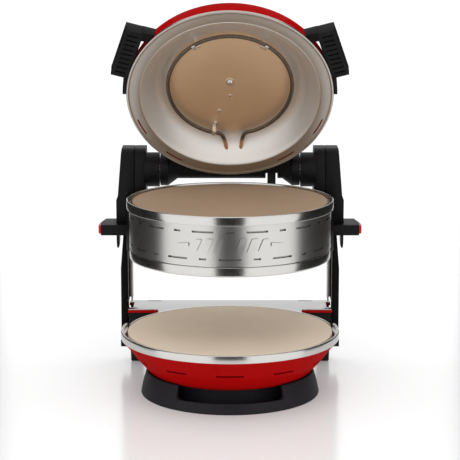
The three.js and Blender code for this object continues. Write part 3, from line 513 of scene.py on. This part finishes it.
def piece(name, bm, look, body, replaced=(), matrix=None, smooth_deg=32, wall=None):
    """Makes the finished object: mesh, finish, wall, body and the CAD nodes that it stands for."""
    if wall:
        bmesh.ops.solidify(bm, geom=list(bm.faces), thickness=wall)
    if matrix is not None:
        bmesh.ops.transform(bm, matrix=matrix, verts=bm.verts)
    mesh = bpy.data.meshes.new(name)
    bm.to_mesh(mesh)
    bm.free()
    mesh.polygons.foreach_set("use_smooth", [True] * len(mesh.polygons))
    mesh.set_sharp_from_angle(angle=math.radians(smooth_deg))
    mesh.materials.append(look_of(look))
    made = bpy.data.objects.new(name, mesh)
    bpy.context.scene.collection.objects.link(made)
    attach(made, body)
    if replaced:
        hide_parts(*replaced)
    return made


def rod_along(points, radius, sides=16, closed=False):
    """A bmesh tube of that radius along the points, with rounded ends closed flat."""
    bm = bmesh.new()
    places = [Vector(p) for p in points]
    rings = []
    tangent = (places[1] - places[0]).normalized()
    normal = tangent.orthogonal().normalized()
    for index, here in enumerate(places):
        ahead = places[min(index + 1, len(places) - 1)] - places[max(index - 1, 0)]
        ahead.normalize()
        normal = (normal - ahead * normal.dot(ahead)).normalized()
        across = ahead.cross(normal)
        ring = bmesh.ops.create_circle(bm, cap_ends=False, radius=radius, segments=sides)["verts"]
        turn = Matrix((normal, across, ahead)).transposed().to_4x4()
        bmesh.ops.transform(bm, matrix=Matrix.Translation(here) @ turn, verts=ring)
        rings.append(ring)
    for a, b in zip(rings, rings[1:]):
        edges = {e for v in a + b for e in v.link_edges if e.other_vert(v) in a + b}
        bmesh.ops.bridge_loops(bm, edges=list(edges))
    for ring in (rings[0], rings[-1]):
        bmesh.ops.contextual_create(bm, geom=ring)
    bmesh.ops.recalc_face_normals(bm, faces=bm.faces)
    return bm


def join(*parts):
    """One bmesh from several."""
    whole = bmesh.new()
    for part in parts:
        mesh = bpy.data.meshes.new("part")
        part.to_mesh(mesh)
        part.free()
        whole.from_mesh(mesh)
        bpy.data.meshes.remove(mesh)
    return whole


# ------------------------------------------------------------------ base
class OVEN_OT_pedestal(bpy.types.Operator):
    """The charcoal pedestal with its open front, its sill and the rounded corners of the opening"""

    bl_idname = "oven.pedestal"
    bl_label = "Pedestal"

    def execute(self, context):
        low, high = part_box("pedestal")
        foot = (high.x - low.x) / 2 / MM
        top = high.z / MM
        notch_half = math.radians(37.2)
        wall = rounded(
            in_mm(
                [
                    (foot - 50, 0.0),
                    (foot, 0.0, 1.5),
                    (foot - 3.6, 16.6),
                    (foot - 9.5, top, 2.2),
                    (foot - 14, top, 2),
                    (foot - 10.5, 20, 1),
                    (foot - 7, 6, 2),
                    (foot - 46, 6, 2),
                    (foot - 46, 28),
                    (foot - 50, 28),
                ]
            ),
            closed=True,
            bend=4,
        )
        sweep = TURN - 2 * notch_half
        bm = turned(wall, closed=True, start=-math.pi / 2 + notch_half, sweep=sweep, steps=150)
        soften(bm, 1.2 * MM, 2, 60)
        sill = rounded(
            in_mm(
                [
                    (foot - 50, 0.0),
                    (foot, 0.0, 1.5),
                    (foot - 3.9, 17, 2),
                    (foot - 8, 17, 2),
                    (foot - 7, 6, 2),
                    (foot - 46, 6, 2),
                    (foot - 46, 28),
                    (foot - 50, 28),
                ]
            ),
            closed=True,
            bend=4,
        )
        front = turned(sill, closed=True, start=-math.pi / 2 - notch_half, sweep=2 * notch_half, steps=40)
        piece("pedestal_ring", bm, "charcoal", "base", ["pedestal"], DECK)
        piece("pedestal_sill", front, "charcoal", "base", matrix=DECK)
        self.corner_fillets(foot, notch_half)
        return {"FINISHED"}

    def corner_fillets(self, foot, notch_half):
        """Round the two bottom corners of the opening."""
        for side, name in ((1, "right"), (-1, "left")):
            bm = bmesh.new()
            bend = 6 * MM
            base_z = 16.5 * MM
            arc = [Vector((0, 0, base_z)), Vector((0, 0, base_z + bend))]
            for step in range(1, 6):
                t = step / 6 * math.pi / 2
                arc.append(Vector((bend * (1 - math.cos(t)), 0, base_z + bend * (1 - math.sin(t)))))
            arc.append(Vector((bend, 0, base_z)))
            verts = [bm.verts.new(v + Vector((0, -(foot - 10) * MM, 0))) for v in arc]
            face = bm.faces.new(verts)
            made = bmesh.ops.extrude_face_region(bm, geom=[face])["geom"]
            outer = [v for v in made if isinstance(v, bmesh.types.BMVert)]
            bmesh.ops.translate(bm, vec=(0, -5.6 * MM, 0), verts=outer)
            bmesh.ops.recalc_face_normals(bm, faces=bm.faces)
            turn = -notch_half + math.radians(0.2)
            matrix = Matrix.Rotation(turn, 4, "Z")
            bmesh.ops.transform(bm, matrix=matrix, verts=bm.verts)
            if side > 0:
                bmesh.ops.scale(bm, vec=(-1, 1, 1), verts=bm.verts)
                bmesh.ops.reverse_faces(bm, faces=bm.faces)
            piece(f"pedestal_corner_{name}", bm, "charcoal", "base", matrix=DECK)


def stone_bmesh(node):
    """A baking stone with a worn round edge."""
    low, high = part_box(node)
    radius = (high.x - low.x) / 2
    outline = [
        (0, low.z),
        (radius, low.z, 1 * MM),
        (radius, high.z, 2.2 * MM),
        (radius - 9 * MM, high.z),
        (0, high.z),
    ]
    return turned(rounded(outline))


class OVEN_OT_stones(bpy.types.Operator):
    """The two baking stones"""

    bl_idname = "oven.stones"
    bl_label = "Baking stones"

    def execute(self, context):
        for level, body in (("lower", "base"), ("upper", "drum")):
            stone = f"{level}_stone"
            piece(f"{stone}_clay", stone_bmesh(stone), f"{level}_clay", body, [stone], DECK)
        return {"FINISHED"}


class OVEN_OT_bowl(bpy.types.Operator):
    """The red bowl with its row of vents, and the bright ring and bead round the lower stone"""

    bl_idname = "oven.bowl"
    bl_label = "Bowl and ring"

    def execute(self, context):
        self.shell()
        self.ring()
        return {"FINISHED"}

    def shell(self):
        """The enamelled bowl, pierced by its row of vents."""
        low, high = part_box("lower_shell")
        rim = (high.x - low.x) / 2 / MM
        bottom = low.z / MM
        vents = [(152.6, bottom + 30.4), (155.0, bottom + 33.6)]
        under = [(90, bottom), (116, bottom + 0.8), (128, bottom + 5.2), (137, bottom + 12.7), vents[0]]
        slope = flowing(under, 5)[:-1]
        upper = flowing([vents[1], (163.5, bottom + 45), (rim - 0.6, high.z / MM - 3)], 6)[1:]
        outline = [(0, bottom), *slope, *vents, *upper, (rim, high.z / MM)]
        bm = turned(in_mm(outline))
        face_outwards(bm, down=True)
        z0, z1 = (bottom + 30.4) * MM, (bottom + 33.6) * MM
        windows = [(-math.pi / 2 + i * TURN / VENTS, math.radians(7.2)) for i in range(VENTS)]
        cut_windows(bm, lambda r, z: z0 < z < z1, windows)
        piece("bowl_shell", bm, "bowl_enamel", "base", ["lower_shell"], DECK, wall=sizes().sheet)

    def ring(self):
        """The bright ring, open at the back, and the thin bead that goes on behind it."""
        low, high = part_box("lower_ring")
        outer = (high.x - low.x) / 2 / MM
        top = high.z / MM
        section = [
            (outer - 2, low.z / MM),
            (outer, low.z / MM, 0.8),
            (outer, top - 0.4, 1.8),
            (outer - 4.2, top, 1.6),
            (outer - 4.6, top - 7, 0.6),
            (outer - 8.4, top - 7),
            (outer - 8.4, top - 8.2),
            (outer - 2, top - 8.2),
        ]
        reach = math.radians(12.5)
        outline = rounded(in_mm(section), closed=True, bend=4)
        ring = turned(outline, closed=True, start=-math.pi - reach, sweep=math.pi + 2 * reach, steps=130)
        piece("stone_ring", ring, "rim_steel", "base", ["lower_ring"], DECK)
        corners = [(166.6, 95.2), (169.6, 95.2), (169.6, top - 1.4, 1.2), (166.6, top - 1.4, 1.2)]
        bead = rounded(in_mm(corners), closed=True)
        back = turned(bead, closed=True, start=reach + 0.004, sweep=math.pi - 2 * reach - 0.008, steps=100)
        piece("stone_bead", back, "rim_steel", "base", matrix=DECK)


class OVEN_OT_rear(bpy.types.Operator):
    """The steel shelf, its red skirt, the black housing, the feet, the columns and the middle rails"""

    bl_idname = "oven.rear"
    bl_label = "Rear housing and columns"

    edges = {
        "rear_tray": ("tray_steel", 0.3),
        "rear_tray_skirt": ("bowl_enamel", 0.5),
        "rear_housing": ("moulding", 1.2),
        "rear_housing_cover": ("moulding", 0.5),
        "cord_gland": ("rubber", 0.5),
    }
    paired = {
        "rear_foot": ("rubber", 2.0),
        "column": ("column_paint", 0.9),
    }

    def execute(self, context):
        for node, (look, edge) in self.edges.items():
            refine(node, look, "base", edge)
        for side in SIDES:
            for node, (look, edge) in self.paired.items():
                refine(f"{node}_{side}", look, "base", edge)
            refine(f"middle_rail_{side}", "rail_steel", "rails", 0.4)
        return {"FINISHED"}


def refine(node, look, body, edge_mm, segments=2, over_deg=30):
    """A visual piece made from a CAD node: merged, its sharp edges rounded."""
    bm = node_copy(node)
    soften(bm, edge_mm * MM, segments, over_deg)
    return piece(f"{node}_fine", bm, look, body, [node], smooth_deg=38)


# ------------------------------------------------------------------ drum
class OVEN_OT_drum(bpy.types.Operator):
    """The polished drum: rims, slotted wall and raised motif"""

    bl_idname = "oven.drum"
    bl_label = "Drum"

    def execute(self, context):
        self.rims()
        self.wall()
        self.motif()
        self.ceiling()
        return {"FINISHED"}

    def rims(self):
        """The rolled band at the foot and the channel that frames the upper stone."""
        low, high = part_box("drum_top_rim")
        outer = (high.x - low.x) / 2 / MM
        top, bottom = high.z / MM, low.z / MM
        section = [
            (outer - 3.4, bottom),
            (outer - 0.6, bottom, 1.0),
            (outer, bottom + 5),
            (outer, top - 0.2, 2.0),
            (outer - 3.6, top, 1.8),
            (outer - 4.2, top - 7, 0.6),
            (outer - 8.2, top - 7),
            (outer - 8.2, top - 8.2),
            (outer - 3.4, top - 8.2),
        ]
        rim = turned(rounded(in_mm(section), closed=True, bend=4), closed=True)
        piece("drum_rim", rim, "rim_steel", "drum", ["drum_top_rim"], DECK)
        low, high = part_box("drum_foot_rim")
        outer = (high.x - low.x) / 2 / MM
        foot = low.z / MM
        section = [
            (150, foot),
            (outer, foot, 2.4),
            (outer + 0.2, foot + 7.5),
            (outer, foot + 15, 1.2),
            (outer - 2.6, foot + 15.4),
            (outer - 2.6, foot + 18),
            (outer - 3.8, foot + 18),
            (outer - 3.8, foot + 1.8),
            (150, foot + 1.8),
        ]
        band = turned(rounded(in_mm(section), closed=True, bend=4), closed=True)
        piece("drum_foot", band, "rim_steel", "drum", ["drum_foot_rim"], DECK)

    def wall(self):
        """The wall with its two rows of long and short vents in turn."""
        low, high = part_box("drum_shell")
        radius = (high.x - low.x) / 2
        half = 1.5 * MM
        rows = {"upper": high.z - 10 * MM, "lower": low.z + 10.6 * MM}
        edges = [rows[row] + shift for row in ("lower", "upper") for shift in (-half, half)]
        heights = [low.z, *edges, high.z]
        bm = turned([(radius, z) for z in heights], steps=360)
        face_outwards(bm)
        spacing = TURN / 24
        spread = {"long": 17.9 * MM / radius, "short": 4.7 * MM / radius}
        for row, odd in (("upper", "short"), ("lower", "long")):
            even = "long" if odd == "short" else "short"
            middle = rows[row]
            windows = [(-math.pi / 2 + i * spacing, spread[even if i % 2 else odd]) for i in range(24)]
            cut_windows(bm, lambda r, z, middle=middle: abs(z - middle) < half, windows)
        piece("drum_wall", bm, "drum_steel", "drum", ["drum_shell"], DECK, wall=sizes().sheet)
        liner = turned([(radius - 4 * MM, low.z + 4 * MM), (radius - 4 * MM, high.z - 3 * MM)], steps=120)
        face_outwards(liner)
        piece("drum_liner", liner, "zinc", "drum", matrix=DECK, wall=0.8 * MM)

    def motif(self):
        """A plain raised motif on the front: a row of leaning bars between two tapered lines."""
        low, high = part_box("drum_shell")
        radius = (high.x - low.x) / 2
        middle = (low.z + high.z) / 2 + 0.5 * MM
        tall = sizes().motif_height
        shapes = []
        lean = 0.32 * tall
        for index in range(7):
            x = (index - 3) * 17.5 * MM
            half = tall * (0.5 - 0.045 * abs(index - 3))
            width = 5.4 * MM
            lower, upper = x - lean / 2, x + lean / 2
            feet = [(lower - width, -half), (lower + width, -half)]
            shapes.append([*feet, (upper + width, half), (upper - width, half)])
        for way in (1, -1):
            inner, outer = 64 * MM * way, 86 * MM * way
            shapes.append([(inner, -3.4 * MM), (outer, -0.8 * MM), (outer, 0.8 * MM), (inner, 3.4 * MM)])
        parts = [self.raised(shape, radius, middle) for shape in shapes]
        piece("drum_motif", join(*parts), "drum_steel", "drum", matrix=DECK, smooth_deg=50)

    def raised(self, shape, radius, middle):
        """One outline laid on the drum's front, raised with soft shoulders."""
        bm = bmesh.new()
        face = bm.faces.new([bm.verts.new((x, 0, z)) for x, z in shape])
        bmesh.ops.bevel(
            bm, geom=list(face.verts), offset=2 * MM, offset_type="OFFSET", segments=3, profile=0.5,
            affect="VERTICES", material=-1,
        )
        for rise, inset in ((1.3 * MM, 0.7 * MM), (0.6 * MM, 1.1 * MM)):
            top = max(bm.faces, key=lambda f: -f.calc_center_median().y if len(f.verts) > 4 else -1)
            bmesh.ops.inset_region(bm, faces=[top], thickness=inset, depth=0, use_even_offset=True)
            bmesh.ops.translate(bm, vec=(0, -rise, 0), verts=list(top.verts))
        edges = list(bm.edges)
        bmesh.ops.subdivide_edges(bm, edges=[e for e in edges if e.calc_length() > 8 * MM], cuts=2)
        bmesh.ops.triangulate(bm, faces=bm.faces)
        for vert in bm.verts:
            angle = vert.co.x / radius
            reach = radius - 0.1 * MM - vert.co.y
            vert.co = Vector((reach * math.sin(angle), -reach * math.cos(angle), middle + vert.co.z))
        bmesh.ops.recalc_face_normals(bm, faces=bm.faces)
        face_outwards(bm)
        return bm

    def ceiling(self):
        """The bright dish under the drum."""
        low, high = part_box("ceiling_reflector")
        rim = (high.x - low.x) / 2 / MM
        base, crown = low.z / MM, high.z / MM - 1
        slope = flowing([(100, crown), (124, crown - 8), (141, crown - 24), (rim, base)], 6)
        bm = turned(in_mm([(0, crown), (60, crown), *slope]))
        face_outwards(bm, down=True)
        piece("ceiling_dish", bm, "drum_dish", "drum", ["ceiling_reflector"], DECK, wall=0.9 * MM)


# ------------------------------------------------------------------ towers, brackets, handles
class OVEN_OT_towers(bpy.types.Operator):
    """The two towers, the brackets that carry the drum, the side handles and their red buttons"""

    bl_idname = "oven.towers"
    bl_label = "Towers and handles"

    parts = {
        "tower_cover": ("moulding", "drum", 1.8),
        "tower_frame": ("moulding", "drum", 1.4),
        "side_bracket": ("moulding", "drum", 2.0),
        "side_handle": ("moulding", "drum", 2.2),
    }

    def execute(self, context):
        for side in SIDES:
            for node, (look, body, edge) in self.parts.items():
                refine(f"{node}_{side}", look, body, edge, 3)
            refine(f"release_button_{side}", "red_plastic", f"button_{side}", 1.8, 3)
        return {"FINISHED"}


# ------------------------------------------------------------------ lid
class OVEN_OT_lid(bpy.types.Operator):
    """The red dome, its bright rim and dish, the heater's clips, and the screws"""

    bl_idname = "oven.lid"
    bl_label = "Lid"

    def execute(self, context):
        self.dome()
        self.rim()
        self.dish()
        self.fixings()
        return {"FINISHED"}

    def dome(self):
        """The enamelled dome with a rolled edge and a row of vents."""
        slope = flowing(
            [(0.01, 85), (45, 83.6), (80, 79), (110, 70), (138, 57), (157, 37.6), (160.2, 33.4)], 5
        )
        vents = [(161.9, 31.2)]
        wall = flowing([(161.9, 31.2), (165.4, 22), (167, 12), (167.4, 4)], 4)[1:]
        outline = [*slope, *vents, *wall]
        bm = turned(in_mm([(max(r, 0), z) for r, z in outline]))
        face_outwards(bm)
        z0, z1 = 31.2 * MM, 33.4 * MM
        windows = [(-math.pi / 2 + i * TURN / VENTS, math.radians(7)) for i in range(VENTS)]
        cut_windows(bm, lambda r, z: z0 < z < z1, windows)
        piece("lid_dome", bm, "lid_enamel", "lid", ["lid_skin"], LID, wall=sizes().sheet, smooth_deg=40)

    def rim(self):
        """The flat bright flange round the dish, with four vents and a rolled outer edge."""
        outline = rounded(
            in_mm(
                [
                    (146.0, 1.9),
                    (147.2, 0.9, 0.5),
                    (157.1, 0.95),
                    (159.5, 0.95),
                    (162.8, 0.95, 0.6),
                    (164.4, 0.0, 0.9),
                    (167.4, 0.2, 1.0),
                    (167.5, 3.6),
                ]
            )
        )
        bm = turned(outline)
        face_outwards(bm, down=True)
        windows = [(math.pi / 2 + math.radians(a), math.radians(6.6)) for a in (36, 66, -36, -66)]
        cut_windows(bm, lambda r, z: 157.2 * MM < r < 159.4 * MM, windows)
        piece("lid_flange", bm, "lid_flange", "lid", ["lid_rim"], LID, wall=0.8 * MM)
        shade = turned(in_mm([(150, 4.6), (165.6, 4.6)]), steps=90)
        face_outwards(shade, down=True)
        piece("lid_inner_edge", shade, "lid_enamel", "lid", matrix=LID, wall=0.6 * MM)

    def dish(self):
        """The mirror-bright reflector dish."""
        slope = flowing([(97, 38), (110, 35.6), (124, 27.5), (135.5, 14.5), (142.2, 4.6), (145.6, 1.3)], 6)
        bm = turned(in_mm([(0, 38), (50, 38), (90, 38), *slope]), steps=240)
        face_outwards(bm, down=True)
        piece("lid_dish", bm, "lid_dish", "lid", ["lid_reflector"], LID, wall=0.8 * MM, smooth_deg=60)

    def fixings(self):
        """The clips with their screws, the middle screw on its washer and two rivets."""
        refine("heater_clip_front_left", "screw_steel", "lid", 0.2)
        refine("heater_clip_front_right", "screw_steel", "lid", 0.2)
        refine("heater_clip_back", "screw_steel", "lid", 0.2)
        washer = turned(rounded(in_mm([(0, 37.9), (7.2, 37.9), (7.2, 36.6, 0.5), (0, 36.2)])), steps=32)
        screw = [(0, 36.6), (4.2, 36.4), (4.2, 34.6, 0.8), (2, 33.6), (0, 33.4)]
        head = turned(rounded(in_mm(screw)), steps=24)
        piece("crown_screw_head", join(washer, head), "screw_steel", "lid", ["crown_screw"], LID)
        rivets = []
        for x, y in ((0, 28), (-17.5, 60)):
            rivet = turned(rounded(in_mm([(0, 37.9), (2.8, 37.9), (2.6, 36.4, 0.8), (0, 36)])), steps=20)
            bmesh.ops.translate(rivet, vec=(x * MM, y * MM, 0), verts=rivet.verts)
            rivets.append(rivet)
        piece("crown_rivets", join(*rivets), "screw_steel", "lid", matrix=LID)


def heater_path(radius, z, leg, shift_deg=-2.8, gap_deg=12):
    """The heater's line in millimetres: a ring whose two ends run out at the back along the leg's points."""
    gap = math.radians(gap_deg)
    points = [Vector(p) for p in leg]
    for step in range(41):
        angle = math.pi / 2 - gap - step / 40 * (TURN - 2 * gap)
        points.append(Vector((radius * math.cos(angle), radius * math.sin(angle), z)))
    points.extend(Vector((-x, y, height)) for x, y, height in reversed(leg))
    turn = Matrix.Rotation(math.radians(shift_deg), 3, "Z")
    return [tuple((turn @ Vector(p)) * MM) for p in flowing(points, 3)]


class OVEN_OT_heaters(bpy.types.Operator):
    """The round heaters in the lid and under the drum"""

    bl_idname = "oven.heaters"
    bl_label = "Heaters"

    def execute(self, context):
        lid_leg = [(12, 132, 24), (12.5, 125, 24.5), (15, 111, 26)]
        lid = rod_along(heater_path(101, 26, lid_leg), 3.2 * MM)
        piece("lid_heater_tube", lid, "lid_sheath", "lid", ["lid_heater"], LID, smooth_deg=60)
        ceiling_leg = [(12, 124, 41), (12.5, 121, 31.5), (15, 112, 22)]
        ceiling = rod_along(heater_path(101, 22, ceiling_leg), 3.2 * MM)
        piece("ceiling_heater_tube", ceiling, "drum_sheath", "drum", ["ceiling_heater"], DRUM, smooth_deg=60)
        return {"FINISHED"}


class OVEN_OT_grips(bpy.types.Operator):
    """The two grips of the lid, grooved underneath"""

    bl_idname = "oven.grips"
    bl_label = "Lid grips"

    def execute(self, context):
        for side in SIDES:
            refine(f"lid_handle_{side}", "moulding", "lid", 1.2, 2)
        return {"FINISHED"}


class OVEN_OT_hinge(bpy.types.Operator):
    """The hinge beam across the back and the lead that goes up into it"""

    bl_idname = "oven.hinge"
    bl_label = "Hinge beam and lead"

    def execute(self, context):
        refine("hinge_beam", "moulding", "lid", 1.0, 2)
        refine("lid_lead", "rubber", "drum", 0.6, 2)
        refine("lead_gland", "moulding", "drum", 0.8, 2)
        return {"FINISHED"}


# ------------------------------------------------------------------ what stays as packed, with finishes
class OVEN_OT_inner(bpy.types.Operator):
    """Finishes of the inner pieces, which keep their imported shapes"""

    bl_idname = "oven.inner"
    bl_label = "Inner pieces"

    finishes = {
        "zinc": ["base_cover", "lower_stone_seat", "upper_stone_seat", "divider_plate"],
        "drum_dish": ["lower_reflector"],
        "drum_sheath": ["lower_heater", "upper_heater"],
        "ceramic": ["lower_thermostat", "lid_thermostat"],
        "rail_steel": ["slider_right", "slider_left"],
        "screw_steel": ["button_spring_right", "button_spring_left", "hinge_pin_right", "hinge_pin_left"],
    }

    def execute(self, context):
        for look, nodes in self.finishes.items():
            for node in nodes:
                mesh = frame["nodes"][node].data
                mesh.materials.clear()
                mesh.materials.append(look_of(look))
        return {"FINISHED"}


# ------------------------------------------------------------------ stage
class OVEN_OT_stage(bpy.types.Operator):
    """The pale floor, the soft lights, the dark flags for the metal, and the camera"""

    bl_idname = "oven.stage"
    bl_label = "Stage"

    def execute(self, context):
        self.floor()
        self.world(context.scene)
        self.soft_box("key", (0.0, -1.7, 2.6), (0, 0, 0.3), 2.4, 1.2, 7)
        self.soft_box("front", (0.0, -3.3, 0.6), (0, 0, 0.15), 2.2, 1.0, 23)
        self.flag("flag_left", (-0.6, -0.23), (-0.6, 1.7), 1.2)
        self.flag("flag_right", (0.6, -0.23), (0.6, 1.7), 1.2)
        self.flag("flag_front", (-0.12, -0.52), (0.12, -0.52), 0.42)
        self.camera(context.scene)
        context.scene.view_settings.view_transform = "Standard"
        return {"FINISHED"}

    def floor(self):
        """A wide flat floor."""
        bm = bmesh.new()
        bmesh.ops.create_grid(bm, x_segments=8, y_segments=8, size=20)
        mesh = bpy.data.meshes.new("floor")
        bm.to_mesh(mesh)
        bm.free()
        mesh.materials.append(look_of("floor"))
        floor = bpy.data.objects.new("floor", mesh)
        bpy.context.scene.collection.objects.link(floor)

    def world(self, scene):
        """An even white surround."""
        world = bpy.data.worlds.new("studio")
        world.use_nodes = True
        background = world.node_tree.nodes["Background"]
        background.inputs["Color"].default_value = (1, 1, 1, 1)
        background.inputs["Strength"].default_value = 1.0
        scene.world = world

    def soft_box(self, name, place, aim, width, height, power):
        """A large area light that leaves no highlight of its own in the metal."""
        data = bpy.data.lights.new(name, "AREA")
        data.shape = "RECTANGLE"
        data.size = width
        data.size_y = height
        data.energy = power
        lamp = bpy.data.objects.new(name, data)
        lamp.location = place
        lamp.rotation_euler = (Vector(aim) - Vector(place)).to_track_quat("-Z", "Y").to_euler()
        lamp.visible_glossy = False
        bpy.context.scene.collection.objects.link(lamp)

    def flag(self, name, start, end, height):
        """A dark upright card between two places on the floor that only the polished metal sees."""
        bm = bmesh.new()
        corners = [(*start, 0.01), (*end, 0.01), (*end, height), (*start, height)]
        bm.faces.new([bm.verts.new(corner) for corner in corners])
        mesh = bpy.data.meshes.new(name)
        bm.to_mesh(mesh)
        bm.free()
        mesh.materials.append(look_of("rubber"))
        card = bpy.data.objects.new(name, mesh)
        bpy.context.scene.collection.objects.link(card)
        card.visible_camera = False
        card.visible_diffuse = False
        card.visible_shadow = False

    def camera(self, scene):
        """A long lens, a little above the oven, looking slightly down."""
        data = bpy.data.cameras.new("camera")
        data.sensor_width = 36
        data.lens = 140.9
        data.clip_end = 100
        view = bpy.data.objects.new("camera", data)
        view.location = (0, AXIS_Y - 2.83, 0.805)
        view.rotation_euler = (math.radians(90 - 10.8), 0, 0)
        scene.collection.objects.link(view)
        scene.camera = view


class OVEN_PT_panel(bpy.types.Panel):
    """The oven's sizes, colours and steps"""

    bl_idname = "OVEN_PT_panel"
    bl_label = "Countertop Pizza Oven"
    bl_space_type = "VIEW_3D"
    bl_region_type = "UI"
    bl_category = "Oven"

    def draw(self, context):
        for group, kind in ((context.scene.oven_sizes, OvenSizes), (context.scene.oven_colours, OvenColours)):
            column = self.layout.column(align=True)
            for name in kind.__annotations__:
                column.prop(group, name)
        column = self.layout.column()
        for step in STEPS:
            column.operator(step.bl_idname)


STEPS = (
    OVEN_OT_pedestal,
    OVEN_OT_stones,
    OVEN_OT_bowl,
    OVEN_OT_rear,
    OVEN_OT_drum,
    OVEN_OT_towers,
    OVEN_OT_lid,
    OVEN_OT_heaters,
    OVEN_OT_grips,
    OVEN_OT_hinge,
    OVEN_OT_inner,
    OVEN_OT_stage,
)
CLASSES = (OvenSizes, OvenColours, *STEPS, OVEN_PT_panel)


def register():
    """Registers the classes and the scene's properties."""
    for kind in CLASSES:
        bpy.utils.register_class(kind)
    bpy.types.Scene.oven_sizes = bpy.props.PointerProperty(type=OvenSizes)
    bpy.types.Scene.oven_colours = bpy.props.PointerProperty(type=OvenColours)


def unregister():
    """Removes the properties and the classes."""
    del bpy.types.Scene.oven_colours
    del bpy.types.Scene.oven_sizes
    for kind in reversed(CLASSES):
        bpy.utils.unregister_class(kind)


def main():
    """Builds every piece."""
    register()
    for step in STEPS:
        group, name = step.bl_idname.split(".")
        getattr(getattr(bpy.ops, group), name)()


if __name__ == "__main__":
    main()
